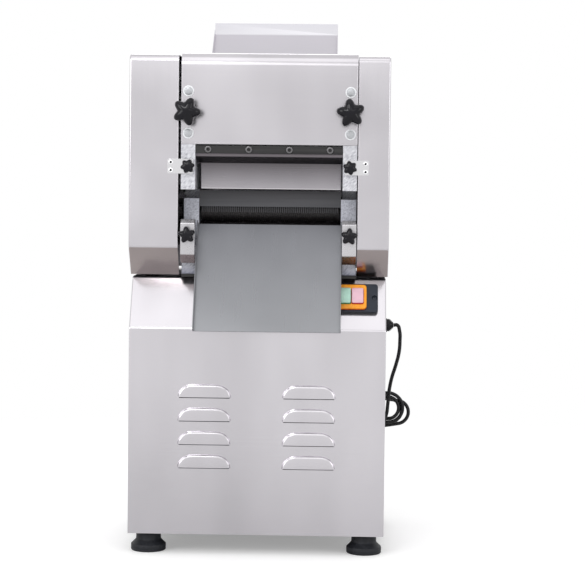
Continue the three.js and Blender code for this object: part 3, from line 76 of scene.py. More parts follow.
# Materials: every finish of the machine has its grain on Object coordinates
def material(name, colour, metallic=0.0, roughness=0.4, shine=1.5):
    made = bpy.data.materials.new(name)
    made.use_nodes = True
    shader = made.node_tree.nodes["Principled BSDF"]
    shader.inputs["Base Color"].default_value = (*colour, 1)
    shader.inputs["Metallic"].default_value = metallic
    shader.inputs["Roughness"].default_value = roughness
    shader.inputs["IOR"].default_value = shine
    return made


def socket(made, name):
    return made.node_tree.nodes["Principled BSDF"].inputs[name]


# A noise on Object coordinates, turned and then stretched: scale is how often it changes along each axis
def grain(made, scale, turn=(0, 0, 0), detail=3.0):
    nodes, links = made.node_tree.nodes, made.node_tree.links
    place = nodes.new("ShaderNodeTexCoord")
    mapping = nodes.new("ShaderNodeMapping")
    mapping.vector_type = "TEXTURE"
    mapping.inputs["Rotation"].default_value = [math.radians(angle) for angle in turn]
    mapping.inputs["Scale"].default_value = [1 / often for often in scale]
    noise = nodes.new("ShaderNodeTexNoise")
    noise.inputs["Scale"].default_value = 1
    noise.inputs["Detail"].default_value = detail
    links.new(place.outputs["Object"], mapping.inputs["Vector"])
    links.new(mapping.outputs["Vector"], noise.inputs["Vector"])
    return noise.outputs["Fac"]


# How far a point lies between two heights, in millimetres
def heightShare(made, bottom, top):
    nodes, links = made.node_tree.nodes, made.node_tree.links
    place = nodes.new("ShaderNodeTexCoord")
    parts = nodes.new("ShaderNodeSeparateXYZ")
    links.new(place.outputs["Object"], parts.inputs["Vector"])
    return ranged(made, parts.outputs["Z"], 0, 1, bottom * mm, top * mm)


def ranged(made, value, low, high, fromLow=0.3, fromHigh=0.7):
    node = made.node_tree.nodes.new("ShaderNodeMapRange")
    for name, number in (("From Min", fromLow), ("From Max", fromHigh), ("To Min", low), ("To Max", high)):
        node.inputs[name].default_value = number
    made.node_tree.links.new(value, node.inputs["Value"])
    return node.outputs["Result"]


def varyRoughness(made, value, low, high):
    made.node_tree.links.new(ranged(made, value, low, high), socket(made, "Roughness"))


def shades(made, value, colours):
    ramp = made.node_tree.nodes.new("ShaderNodeValToRGB")
    elements = ramp.color_ramp.elements
    while len(elements) < len(colours):
        elements.new(0.5)
    for element, (place, colour) in zip(elements, colours):
        element.position = place
        element.color = (*colour, 1)
    made.node_tree.links.new(value, ramp.inputs["Fac"])
    return ramp.outputs["Color"]


def varyColour(made, value, darker, lighter, low=0.3, high=0.7):
    tone = shades(made, value, [(low, darker), (high, lighter)])
    made.node_tree.links.new(tone, socket(made, "Base Color"))


# Multiplies two colours into the base colour
def tint(made, first, second):
    mix = made.node_tree.nodes.new("ShaderNodeMix")
    mix.data_type = "RGBA"
    mix.blend_type = "MULTIPLY"
    mix.inputs["Factor"].default_value = 1
    made.node_tree.links.new(first, mix.inputs["A"])
    made.node_tree.links.new(second, mix.inputs["B"])
    made.node_tree.links.new(mix.outputs["Result"], socket(made, "Base Color"))


def raiseGrain(made, value, strength, distance):
    bump = made.node_tree.nodes.new("ShaderNodeBump")
    bump.inputs["Strength"].default_value = strength
    bump.inputs["Distance"].default_value = distance
    made.node_tree.links.new(value, bump.inputs["Height"])
    made.node_tree.links.new(bump.outputs["Normal"], socket(made, "Normal"))


def times(colour, share):
    return tuple(min(part * share, 1) for part in colour)


# Brushed sheet: fine strokes, faint smudges, and a tone set for each height where one is given: painted shade
# on the guide and chute, a painted highlight on the tray, a painted reflection on the caps
def brushedSheet(
    name, tone, brush=(5, 700, 700), rough=(0.19, 0.23), heights=None, smudged=0.11, cloud=(6, 6, 6),
):
    made = material(name, tone, 1.0, 0.3)
    stroke = grain(made, brush, detail=4)
    smudge = grain(made, cloud, detail=2)
    cloudy = shades(made, smudge, [(0.32, times(tone, 1 - smudged)), (0.68, times(tone, 1 + smudged * 0.6))])
    if heights:
        bottom, top, levels = heights
        tint(made, cloudy, shades(made, heightShare(made, bottom, top), levels))
    else:
        made.node_tree.links.new(cloudy, socket(made, "Base Color"))
    varyRoughness(made, stroke, *rough)
    raiseGrain(made, stroke, 0.012, 0.0001)
    return made


# Milled plate with slanting cutter marks, darker at its cast foot
def milledSteel():
    made = material("milledSteel", (0.66, 0.66, 0.68), 0.7, 0.45)
    hatch = grain(made, (140, 140, 900), turn=(0, -44, 0), detail=4)
    marks = shades(made, hatch, [(0.4, (0.38, 0.38, 0.42)), (0.56, (0.7, 0.7, 0.73))])
    foot = shades(made, heightShare(made, 480, 530), [(0.25, (0.5, 0.51, 0.58)), (0.75, (1, 1, 1))])
    tint(made, marks, foot)
    varyRoughness(made, hatch, 0.34, 0.6)
    raiseGrain(made, hatch, 0.35, 0.0003)
    return made


# Stripper combs: dark plate, a little bluish, lighter towards its foot: painted shade darkens the upper comb
# towards its top, under the guide plate
def combSteel():
    made = material("combSteel", (0.07, 0.073, 0.074), 0.7, 0.4)
    drawn = grain(made, (5, 200, 200), detail=4)
    plain = shades(made, drawn, [(0.3, (0.08, 0.081, 0.088)), (0.7, (0.104, 0.105, 0.113))])
    # painted shade: darker towards the top of the upper comb, under the guide plate
    tint(made, plain, shades(made, heightShare(made, 598, 640), [(0, (1, 1, 1)), (0.9, (0.62, 0.6, 0.6))]))
    varyRoughness(made, drawn, 0.36, 0.5)
    return made


# One grain for tone, roughness and relief; slow is the scale of a slower change of tone in its place
def grained(
    name, colour, metallic, roughness, scale, detail, tones, rough, relief=None, slow=None, shine=1.5,
):
    made = material(name, colour, metallic, roughness, shine)
    fine = grain(made, scale, detail=detail)
    varyColour(made, grain(made, slow) if slow else fine, *tones)
    varyRoughness(made, fine, *rough)
    if relief:
        raiseGrain(made, fine, *relief)
    return made


def rubber(name, colour, often, low, high):
    tones = (times(colour, 0.7), times(colour, 1.5))
    return grained(name, colour, 0.0, 0.6, (often,) * 3, 4, tones, (low, high), (0.25, 0.0004), shine=1.35)


# Plated or turned metal of small fasteners
def plated(name, tone, low, high):
    tones = (times(tone, 0.88), times(tone, 1.08))
    return grained(name, tone, 1.0, low, (800,) * 3, 3, tones, (low, high), (0.06, 0.0001))


# Moulded plastic with a faint orange peel; a clear coat with its own shine where one is given
def moulded(name, colour, low, high, shine=1.5, coat=None, spread=0.2):
    made = material(name, colour, 0.0, low, shine)
    if coat:
        socket(made, "Coat Weight").default_value = 1
        socket(made, "Coat IOR").default_value = coat
        socket(made, "Coat Roughness").default_value = 0.12
    varyColour(made, grain(made, (60,) * 3, detail=2), times(colour, 1 - spread), times(colour, 1 + spread))
    varyRoughness(made, grain(made, (90,) * 3, detail=2), low, high)
    raiseGrain(made, grain(made, (300,) * 3, detail=3), 0.05, 0.0002)
    return made


stainless = (0.6, 0.58, 0.61)
finishes = {
    "brushed_stainless": brushedSheet("brushedStainless", stainless, cloud=(7, 7, 2.2)),
    "milled_steel": milledSteel(),
    "machined_steel": grained(
        "machinedSteel", (0.62, 0.62, 0.64), 1.0, 0.25, (1500, 6, 6), 3, ((0.5, 0.5, 0.52), (0.7, 0.7, 0.71)),
        (0.16, 0.34), (0.08, 0.0001), slow=(9, 9, 9),
    ),
    "cutter_steel": grained(
        "cutterSteel", (0.06, 0.055, 0.056), 0.7, 0.4, (700, 900, 900), 5,
        ((0.022, 0.02, 0.021), (0.1, 0.092, 0.094), 0.42, 0.7), (0.35, 0.55),
    ),
    "dark_steel": grained(
        "darkSteel", (0.04, 0.04, 0.04), 0.6, 0.45, (5, 300, 300), 4,
        ((0.024, 0.023, 0.024), (0.044, 0.043, 0.043)), (0.4, 0.55), (0.04, 0.0001),
    ),
    "cast_iron": grained(
        "castIron", (0.45, 0.46, 0.5), 0.35, 0.6, (380, 380, 380), 5, ((0.4, 0.41, 0.47), (0.78, 0.79, 0.86)),
        (0.5, 0.8), (0.5, 0.0006),
    ),
    "motor_paint": grained(
        "motorPaint", (0.09, 0.12, 0.16), 0.0, 0.45, (220, 220, 220), 3,
        ((0.07, 0.095, 0.13), (0.11, 0.145, 0.19)), (0.36, 0.56), (0.2, 0.0004), slow=(14, 14, 14),
    ),
    "belt_rubber": rubber("beltRubber", (0.018, 0.018, 0.019), 500, 0.55, 0.8),
    "foot_rubber": rubber("footRubber", (0.014, 0.015, 0.019), 260, 0.4, 0.6),
    "cord_rubber": rubber("cordRubber", (0.006, 0.006, 0.007), 300, 0.26, 0.4),
    "black_plastic": moulded("blackPlastic", (0.0045, 0.004, 0.0068), 0.1, 0.16, 1.33),
    "switch_grey": moulded("switchGrey", (0.02, 0.024, 0.036), 0.28, 0.4, 1.35),
    "bezel_orange": moulded("bezelOrange", (0.92, 0.34, 0.012), 0.2, 0.3, 1.45, None, 0.1),
    # the buttons' tops are paled by a painted sheen; their full green and red are on their sides
    "button_green": moulded("buttonGreen", (0.33, 0.6, 0.48), 0.2, 0.3, 1.5, 1.7, 0.08),
    "button_red": moulded("buttonRed", (0.7, 0.4, 0.49), 0.2, 0.3, 1.5, 1.7, 0.08),
}
# Side faces: the buttons' full colour, and on the bezel and plate a darker orange and grey as painted shade
greenSide = moulded("greenSide", (0.04, 0.3, 0.16), 0.25, 0.35, 1.45, None, 0.08)
redSide = moulded("redSide", (0.5, 0.012, 0.035), 0.25, 0.35, 1.45, None, 0.08)
bezelSide = moulded("bezelSide", (0.78, 0.13, 0.006), 0.25, 0.35, 1.45, None, 0.08)
plateSide = moulded("plateSide", (0.008, 0.009, 0.013), 0.35, 0.45, 1.35)
coverSteel = brushedSheet("coverSteel", stainless, (500, 500, 5))
# Painted reflection: a darker, brownish tone for the covers' sloping foot
flangeSteel = brushedSheet("flangeSteel", (0.37, 0.325, 0.32), (30, 60, 60), (0.16, 0.2))
tabSteel = brushedSheet("tabSteel", (0.7, 0.695, 0.71), (400, 400, 400), smudged=0.03)
# Keeper caps: painted reflection, a darker brownish band on the sloping part below about 525 mm
capSteel = brushedSheet("capSteel", (0.56, 0.55, 0.57), (300, 5, 300), (0.24, 0.36), (510, 588, [
    (0.19, (0.54, 0.47, 0.45)), (0.22, (1, 1, 1)),
]))
# Guide plate: painted shade darkening it upwards, darkest in the recess under the cross bar near 689 to 698
# mm, lighter on the shelf above; its lower edge keeps the bright base tone as a painted highlight
guideSteel = brushedSheet("guideSteel", (0.7, 0.68, 0.71), (5, 500, 500), (0.26, 0.34), (641, 718, [
    (0, (1, 1, 1)), (0.018, (1, 1, 1)), (0.03, (0.6, 0.59, 0.6)), (0.3, (0.4, 0.39, 0.4)),
    (0.58, (0.2, 0.19, 0.195)), (0.62, (0.1, 0.095, 0.1)), (0.74, (0.1, 0.095, 0.1)),
    (0.76, (0.27, 0.25, 0.26)),
]))
# Noodle chute: a dark tone as painted shade, darker still towards its top under the head
chuteSteel = brushedSheet("chuteSteel", (0.27, 0.275, 0.29), (300, 10, 10), (0.27, 0.31), (394, 585, [
    (0, (1, 1, 1)), (1, (0.6, 0.6, 0.62)),
]))
# Feed tray: a painted highlight on the lip just above its fold, from about 932 mm, fading upwards
traySteel = brushedSheet("traySteel", (0.84, 0.83, 0.86), (5, 500, 500), (0.34, 0.4), (837, 954, [
    (0, (0.7, 0.69, 0.71)), (0.795, (0.74, 0.72, 0.75)), (0.812, (0.92, 0.92, 0.93)), (1, (0.72, 0.72, 0.74)),
]), smudged=0.03)
rivetSteel = plated("rivetSteel", (0.9, 0.9, 0.92), 0.3, 0.4)
washerZinc = plated("washerZinc", (0.8, 0.81, 0.83), 0.35, 0.5)
# The bolt heads: the washers' zinc, painted darker as shade
boltZinc = plated("boltZinc", (0.5, 0.51, 0.53), 0.25, 0.4)
screwSteel = plated("screwSteel", (0.17, 0.165, 0.17), 0.2, 0.34)
pinSteel = plated("pinSteel", (0.7, 0.69, 0.66), 0.16, 0.28)
# Painted shade in the hollow of each rivet
darkHole = rubber("darkHole", (0.006, 0.006, 0.006), 400, 0.7, 0.9)
print("materials made")


# Mesh tools: a bmesh is built in millimetres and scaled as it becomes a piece
def corners(node):
    low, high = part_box(node)
    return low / mm, high / mm


def addBox(bm, x, y, z):
    made = bmesh.ops.create_cube(bm, size=1)["verts"]
    bmesh.ops.scale(bm, vec=(x[1] - x[0], y[1] - y[0], z[1] - z[0]), verts=made)
    bmesh.ops.translate(bm, vec=((x[0] + x[1]) / 2, (y[0] + y[1]) / 2, (z[0] + z[1]) / 2), verts=made)
    return made


# A chain of (radius, along) points turned about an axis through centre
def addTurned(bm, profile, centre, axis="X", steps=48):
    along = {"X": Vector((1, 0, 0)), "Y": Vector((0, 1, 0)), "Z": Vector((0, 0, 1))}[axis]
    out = {"X": Vector((0, 0, 1)), "Y": Vector((0, 0, 1)), "Z": Vector((1, 0, 0))}[axis]
    chain = [bm.verts.new(Vector(centre) + out * radius + along * place) for radius, place in profile]
    edges = [bm.edges.new(pair) for pair in zip(chain, chain[1:])]
    bmesh.ops.spin(
        bm, geom=chain + edges, cent=centre, axis=along, dvec=(0, 0, 0), angle=2 * math.pi, steps=steps,
        use_merge=True, use_duplicate=False,
    )
    bmesh.ops.remove_doubles(bm, verts=[v for v in bm.verts if v.is_valid], dist=0.0005)


# A plain round bar that reaches as far each way, to cut a hole
def addBar(bm, radius, half, centre, axis, steps=32):
    addTurned(bm, [(0, -half), (radius, -half), (radius, half), (0, half)], centre, axis, steps)


def vertsOf(grown):
    return [part for part in grown if isinstance(part, bmesh.types.BMVert)]


# An outline of (y, z) corners pushed out from one x to another
def addPrism(bm, outline, x):
    face = bm.faces.new([bm.verts.new((x[0], y, z)) for y, z in outline])
    grown = bmesh.ops.extrude_face_region(bm, geom=[face], use_keep_orig=True)["geom"]
    bmesh.ops.translate(bm, vec=(x[1] - x[0], 0, 0), verts=vertsOf(grown))


def roundEdges(bm, edges, radius, segments=4):
    bmesh.ops.bevel(
        bm, geom=list(edges), offset=radius, offset_type="OFFSET", affect="EDGES", segments=segments,
        profile=0.5, material=-1, clamp_overlap=True,
    )


def edgesWhere(bm, test):
    return [edge for edge in bm.edges if test(*[vert.co for vert in edge.verts])]


# Edges that run along x and pass a further test of their two ends
def edgesAlongX(bm, test):
    return edgesWhere(bm, lambda a, b: abs(a.x - b.x) > 1 and test(a, b))


# Edges that lie wholly above a height
def edgesAbove(bm, height):
    return edgesWhere(bm, lambda a, b: min(a.z, b.z) > height)


def outwards(bm):
    bmesh.ops.recalc_face_normals(bm, faces=bm.faces)


def removeFaces(bm, test):
    bmesh.ops.delete(bm, geom=[face for face in bm.faces if test(face.normal)], context="FACES_ONLY")


# Puts one bmesh into another
def join(bm, part):
    mesh = bpy.data.meshes.new("part")
    part.to_mesh(mesh)
    part.free()
    bm.from_mesh(mesh)
    bpy.data.meshes.remove(mesh)


# A hexagon grown by a reach and turned a quarter about an axis, its far edges chamfered
def addHex(bm, radius, reach, chamfer, place, axis):
    part = bmesh.new()
    bmesh.ops.create_circle(part, cap_ends=True, radius=radius, segments=6)
    grown = bmesh.ops.extrude_face_region(part, geom=part.faces[:], use_keep_orig=True)["geom"]
    bmesh.ops.translate(part, vec=(0, 0, reach), verts=vertsOf(grown))
    outwards(part)
    roundEdges(part, edgesWhere(part, lambda a, b: abs(a.z) > 0.01 and abs(b.z) > 0.01), chamfer, 3)
    bmesh.ops.rotate(part, cent=(0, 0, 0), matrix=Matrix.Rotation(math.pi / 2, 3, axis), verts=part.verts)
    bmesh.ops.translate(part, vec=place, verts=part.verts)
    join(bm, part)


def temporary(bm, name):
    mesh = bpy.data.meshes.new(name)
    bm.to_mesh(mesh)
    bm.free()
    holder = bpy.data.objects.new(name, mesh)
    bpy.context.scene.collection.objects.link(holder)
    return holder


# The first shape without the second
def cutAway(bm, tool):
    outwards(bm)
    outwards(tool)
    whole, cutter = temporary(bm, "whole"), temporary(tool, "cutter")
    modifier = whole.modifiers.new("cut", "BOOLEAN")
    modifier.object = cutter
    modifier.operation = "DIFFERENCE"
    modifier.solver = "EXACT"
    evaluated = whole.evaluated_get(bpy.context.evaluated_depsgraph_get())
    result = bmesh.new()
    result.from_mesh(evaluated.to_mesh())
    for holder in (whole, cutter):
        bpy.data.objects.remove(holder)
    return result


# A copy of a CAD node's mesh, its doubled corners merged and its flat triangles joined
def merged(node):
    bm = bmesh.new()
    bm.from_mesh(frame["nodes"][node].data)
    bmesh.ops.scale(bm, vec=(1 / mm, 1 / mm, 1 / mm), verts=bm.verts)
    bmesh.ops.remove_doubles(bm, verts=bm.verts, dist=0.002)
    bmesh.ops.dissolve_limit(bm, angle_limit=math.radians(0.5), verts=bm.verts, edges=bm.edges)
    return bm


def makePiece(name, bm, body, slot, edge=0.0, replaced=(), finish=None, smooth=32):
    bmesh.ops.scale(bm, vec=(mm, mm, mm), verts=bm.verts)
    mesh = bpy.data.meshes.new(name)
    bm.to_mesh(mesh)
    bm.free()
    mesh.shade_smooth()
    mesh.set_sharp_from_angle(angle=math.radians(smooth))
    piece = bpy.data.objects.new(name, mesh)
    bpy.context.scene.collection.objects.link(piece)
    mesh.materials.append(finish or finishes[slot])
    if edge:
        bevel = piece.modifiers.new("edges", "BEVEL")
        bevel.width = edge * mm
        bevel.segments = 2
        bevel.limit_method = "ANGLE"
        bevel.angle_limit = math.radians(35)
        bevel.harden_normals = True
    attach(piece, body)
    if replaced:
        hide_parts(*replaced)
    return piece


# Gives the faces that pass a test another finish
def finishFaces(piece, finish, test):
    piece.data.materials.append(finish)
    number = len(piece.data.materials) - 1
    for polygon in piece.data.polygons:
        if test(polygon):
            polygon.material_index = number


# front_cover becomes frontCover
def plainName(node):
    first, *rest = node.split("_")
    return first + "".join(word.capitalize() for word in rest)


# The piece that stands for one CAD node, on that node's body and in its slot
def pieceFor(node, bm, edge=0.0, finish=None, smooth=32):
    return makePiece(plainName(node), bm, bodyOfNode[node], slotOfNode[node], edge, (node,), finish, smooth)


# Cord: straight out of the gland, down behind the cabinet, into the tied hank
cord = {
    "diameter": 7, "length": 1922, "resolution": 6, "roundness": 4,
    "drop": [
        (246.55, 130, 383), (253.55, 130, 383), (258.12, 133.03, 372.08), (259.35, 141.04, 351.28),
        (258.12, 151, 328.62), (252.73, 164, 303.07), (245.68, 176.99, 276.91), (241.12, 189.99, 248.69),
        (239.2, 200.6, 221.5), (237.2, 205, 203.5), (231.4, 208.2, 188), (222.4, 212.2, 179.2),
    ],
}
hank = {
    "centreX": 192, "centreZ": 210, "run": 62, "endRadius": 33, "step": 7.4, "layerStep": 8.4, "frontY": 219,
    "start": 208, "loops": 4, "arcSteps": 8, "runSteps": 4, "draw": 9, "reach": 31, "tailShift": 23,
    "tailLength": 40, "tailSteps": 4, "leftShift": -2.9, "leftWider": 2,
    # the right-hand folds lie loose, each at its own place: across, back and up, and its change of radius
    "looseFolds": ((-14, 0, 3, 1.5), (-14.4, 0, 2.7, 1.5), (-9, 8.2, -3, -1.6), (3.5, 0, -4.5, -8.5)),
}


# The hank spirals in, climbs one layer along a run and spirals out again, drawn together at its tie
def hankPoints():
    left, right = hank["centreX"] - hank["run"], hank["centreX"] + hank["run"]
    arcSteps, runSteps, loops = hank["arcSteps"], hank["runSteps"], hank["loops"]
    perLoop = 2 * (arcSteps + runSteps)
    startStep = (right - hank["start"]) / (right - left) * runSteps
    waistX = hank["centreX"] - hank["run"] / 2

    def drawn(x, radius):
        away = min(abs(x - waistX) / hank["reach"], 1)
        return radius - hank["draw"] * (1 + math.cos(math.pi * away)) / 2

    points = [(hank["start"], hank["frontY"], hank["centreZ"] - hank["endRadius"])]
    for i in range(math.floor(startStep) + 1, loops * perLoop + math.floor(startStep) + 1):
        turns = (i - startStep) / perLoop
        radius = hank["endRadius"] - hank["step"] * max(min(turns, loops - turns), 0)
        phase = i % perLoop
        climb = min(max((i - startStep - loops / 2 * perLoop) / runSteps + 0.5, 0), 1)
        y = hank["frontY"] + hank["layerStep"] * climb
        across, back, up = 0, 0, 0
        if phase == 0 or phase >= 2 * runSteps + arcSteps:
            across, back, up, wider = hank["looseFolds"][(i - 1) // perLoop]
            radius += wider
        elif runSteps <= phase <= runSteps + arcSteps:
            across = hank["leftShift"]
            radius += hank["leftWider"]
        if phase <= runSteps:
            x = right - (right - left) * phase / runSteps
            z = -drawn(x, radius)
        elif phase <= runSteps + arcSteps:
            angle = -math.pi / 2 - math.pi * (phase - runSteps) / arcSteps
            x, z = left + radius * math.cos(angle), radius * math.sin(angle)
        elif phase <= 2 * runSteps + arcSteps:
            x = left + (right - left) * (phase - runSteps - arcSteps) / runSteps
            z = drawn(x, radius)
        else:
            angle = math.pi / 2 - math.pi * (phase - 2 * runSteps - arcSteps) / arcSteps
            x, z = right + radius * math.cos(angle), radius * math.sin(angle)
        points.append((x + across, y + back, hank["centreZ"] + z + up))
    x, y, z = points[-1]
    for i in range(1, hank["tailSteps"] + 1):
        share = i / hank["tailSteps"]
        ease = (1 - math.cos(math.pi * share)) / 2
        points.append((x - hank["tailLength"] * share, y + hank["tailShift"] * ease, z))
    x, y, z = points[-1]
    points.append((x - cord["diameter"], y, z))
    return points


cordCurve = bpy.data.curves.new("mainsCord", "CURVE")
cordCurve.dimensions = "3D"
cordCurve.bevel_depth = cord["diameter"] / 2 * mm
cordCurve.bevel_resolution = cord["roundness"]
cordCurve.resolution_u = cord["resolution"]
cordCurve.use_fill_caps = True
route = cord["drop"] + hankPoints()
spline = cordCurve.splines.new("BEZIER")
spline.bezier_points.add(len(route) - 1)
for point, place in zip(spline.bezier_points, route):
    point.co = Vector(place) * mm
    point.handle_left_type = point.handle_right_type = "AUTO"
cordCurve.materials.append(finishes["cord_rubber"])
mainsCord = bpy.data.objects.new("mainsCord", cordCurve)
bpy.context.scene.collection.objects.link(mainsCord)
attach(mainsCord, "machine")
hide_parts("cord_drop", "cord_hank")

# Plug: a grooved boot, a body pressed a little flat, and two pins
plug = {
    "place": (175.7, 250.4, 177.09), "grooves": 5, "groovePitch": 2.4, "bootRadius": 5.3, "bootFlare": 0.35,
    "body": [
        (7.4, -14), (9.6, -15.5), (12.2, -21), (13, -26), (13, -44.5), (12.2, -47.2), (11, -48), (0, -48),
    ],
    "flat": 0.86, "flatFrom": -16, "flatReach": 3, "face": -48,
    "pinSpacing": 19, "pinRadius": 2.4, "pinLength": 19,
}
plugX, plugY, plugZ = plug["place"]
bm = bmesh.new()
profile = [(0, 0), (4.6, 0), (5.2, -0.6)]
for i in range(plug["grooves"]):
    back = -1.6 - i * plug["groovePitch"]
    radius = plug["bootRadius"] + i * plug["bootFlare"]
    profile += [(radius, back), (radius - 1, back - 0.5), (radius - 1, back - 1.5), (radius + 0.2, back - 2)]
addTurned(bm, profile + plug["body"], plug["place"], "X", 40)
pin, tip = plug["pinRadius"], plug["face"] - plug["pinLength"]
pinProfile = [
    (0, tip), (pin / 2, tip), (pin - 0.2, tip + 0.8), (pin, tip + 2),
    (pin, plug["face"] + 1), (0, plug["face"] + 1),
]
for side in (-1, 1):
    addTurned(bm, pinProfile, (plugX, plugY, plugZ + side * plug["pinSpacing"] / 2), "X", 20)
outwards(bm)
for vert in bm.verts:
    across = vert.co.y - plugY
    if plug["face"] - 0.2 < vert.co.x - plugX < plug["flatFrom"] and abs(across) > plug["flatReach"]:
        vert.co.y = plugY + across * plug["flat"]
mainsPlug = pieceFor("mains_plug", bm)
finishFaces(mainsPlug, pinSteel, lambda polygon: polygon.center.x < (plugX + plug["face"] - 0.1) * mm)

tie = {"x": (156, 166), "round": 3.4, "thickness": 1.4}
low, high = corners("hank_tie")
bm = bmesh.new()
addPrism(bm, [(low.y, low.z), (high.y, low.z), (high.y, high.z), (low.y, high.z)], tie["x"])
removeFaces(bm, lambda normal: abs(normal.x) > 0.9)
roundEdges(bm, edgesAlongX(bm, lambda a, b: True), tie["round"], 5)
outwards(bm)
bmesh.ops.solidify(bm, geom=bm.faces, thickness=tie["thickness"])
hankTie = pieceFor("hank_tie", bm, 0.3)
print("cord laid")


# Gland: a hexagon outside, a nut inside, and the tapered, ribbed strain relief
gland = {
    "wall": 225.25, "y": 130, "z": 383, "hexRadius": 15, "hex": 8.6, "nut": 8, "sheet": 2.25, "chamfer": 1.2,
    "ribs": 3, "ribPitch": 2, "ribFrom": 14, "ribRadius": 11,
}
bm = bmesh.new()
glandPlace = (gland["wall"], gland["y"], gland["z"])
addHex(bm, gland["hexRadius"], gland["hex"], gland["chamfer"], glandPlace, "Y")
nutPlace = (gland["wall"] - gland["sheet"], gland["y"], gland["z"])
addHex(bm, gland["hexRadius"], -gland["nut"], gland["chamfer"], nutPlace, "Y")
boot = [(0, -9.6), (11.3, -9.6), (11.3, 8), (12, 8.8), (12, 13.2), (11.4, 13.9)]
for i in range(gland["ribs"]):
    place = gland["ribFrom"] + i * gland["ribPitch"]
    radius = gland["ribRadius"] - i * gland["ribPitch"]
    boot += [(radius - 1.1, place), (radius - 1.1, place + 0.5)]
    boot += [(radius, place + 0.7), (radius - 0.5, place + 1.8)]
boot += [(4.9, 20.2), (4.5, 20.9), (0, 20.9)]
addTurned(bm, boot, glandPlace, "X", 40)
outwards(bm)
pieceFor("cable_gland", bm)
print("gland and strain relief made")


# Pressed louvre hoods
louvre = {
    "width": 93.6, "height": 23, "depth": 7, "pitch": 41.3, "spacing": 183, "lowest": 153.2, "thickness": 1.2,
    "endLength": 27, "middleShare": 0.12, "crownPower": 0.24, "flare": 1.2, "flareDepth": 1.8, "mouth": 2,
}


# One hood's form at the origin, bulging to the front; a closed one cuts its opening
def hoodForm(inset, closed):
    bm = bmesh.new()
    bmesh.ops.create_uvsphere(bm, u_segments=56, v_segments=28, radius=1)
    straight = louvre["width"] / 2 - louvre["endLength"]
    for vert in bm.verts:
        x, y, z = vert.co
        vert.co = (
            x * (louvre["endLength"] - louvre["flare"] - inset)
            + straight * min(max(x / louvre["middleShare"], -1), 1),
            math.copysign(abs(y) ** louvre["crownPower"], y) * (louvre["depth"] - inset),
            z * (louvre["height"] - louvre["flare"] - inset),
        )

    def clearBeyond(normal):
        everything = bm.verts[:] + bm.edges[:] + bm.faces[:]
        bmesh.ops.bisect_plane(
            bm, geom=everything, plane_co=(0, 0, 0), plane_no=normal, clear_outer=True, dist=0.001,
        )

    clearBeyond((0, 0, -1))
    if closed:
        bmesh.ops.holes_fill(bm, edges=[edge for edge in bm.edges if edge.is_boundary], sides=0)
        return bm
    clearBeyond((0, 1, 0))
    for vert in bm.verts:  # the press leaves a small round where the hood meets the panel
        near = max(1 + vert.co.y / louvre["flareDepth"], 0)
        way = Vector((vert.co.x / louvre["width"] * 2, 0, vert.co.z / louvre["height"]))
        if near > 0 and way.length > 0.1:
            vert.co += way.normalized() * louvre["flare"] * (1 - math.sqrt(max(1 - near * near, 0)))
    for face in bm.faces:
        if face.normal.dot(face.calc_center_median()) < 0:
            face.normal_flip()
    bmesh.ops.solidify(bm, geom=bm.faces, thickness=louvre["thickness"])
    return bm


# Opens the rows of louvres in a panel and sets their hoods, which face the way that outward says
def withLouvres(bm, faceY, outward, rows):
    openings, hoods = bmesh.new(), bmesh.new()
    halfTurn = Matrix.Rotation(math.pi, 3, "Z")
    for row in range(rows):
        for side in (-1, 1):
            place = (side * louvre["spacing"] / 2, faceY, louvre["lowest"] + row * louvre["pitch"])
            opening, hood = hoodForm(louvre["thickness"], True), hoodForm(0, False)
            # the opening reaches a little below the hood
            bmesh.ops.translate(opening, vec=(0, 0, -louvre["mouth"]), verts=opening.verts)
            for whole, form in ((openings, opening), (hoods, hood)):
                if outward > 0:
                    bmesh.ops.rotate(form, cent=(0, 0, 0), matrix=halfTurn, verts=form.verts)
                bmesh.ops.translate(form, vec=place, verts=form.verts)
                join(whole, form)
    result = cutAway(bm, openings)
    join(result, hoods)
    return result


# Cabinet: one folded sheet with its sloped front, open underneath and at the back
cabinet = {
    "half": 225, "front": -169, "rear": 205, "floor": 35, "fold": 397, "top": 485, "slopeDepth": 55,
    "sheet": 1.5, "foldRadius": 2.4, "sideRadius": 2.2, "rows": 4, "glandHole": 11.6, "beltSlot": (470, 500),
}
switch = {"x": 163.5, "up": 61, "hole": ((-24.4, 24.4), (-21.4, 21.4), (-8, 8))}
slopeAngle = math.atan2(cabinet["top"] - cabinet["fold"], cabinet["slopeDepth"])
slopeFrame = Matrix.Translation((
    switch["x"], cabinet["front"] + switch["up"] * math.cos(slopeAngle),
    cabinet["fold"] + switch["up"] * math.sin(slopeAngle),
)) @ Matrix.Rotation(slopeAngle, 4, "X")

bm = bmesh.new()
addPrism(bm, [
    (cabinet["front"], cabinet["floor"]), (cabinet["front"], cabinet["fold"]),
    (cabinet["front"] + cabinet["slopeDepth"], cabinet["top"]), (cabinet["rear"], cabinet["top"]),
    (cabinet["rear"], cabinet["floor"]),
], (-cabinet["half"], cabinet["half"]))
outwards(bm)
removeFaces(bm, lambda normal: normal.z < -0.9 or normal.y > 0.9)
folds = edgesAlongX(bm, lambda a, b: max(a.z, b.z) > 300 and a.y < 100)
roundEdges(bm, folds, cabinet["foldRadius"], 6)
sideEdges = edgesWhere(bm, lambda a, b: abs(abs(a.x) - cabinet["half"]) < 0.1 and abs(a.x - b.x) < 0.1)
roundEdges(bm, [edge for edge in sideEdges if len(edge.link_faces) == 2], cabinet["sideRadius"], 4)
bmesh.ops.solidify(bm, geom=bm.faces, thickness=cabinet["sheet"])
outwards(bm)
low, high = corners("large_pulley")
tool = bmesh.new()
addBox(tool, (low.x - 0.25, high.x + 0.25), (low.y - 1, high.y + 1), cabinet["beltSlot"])
addBar(tool, cabinet["glandHole"], 20, (cabinet["half"], gland["y"], gland["z"]), "X")
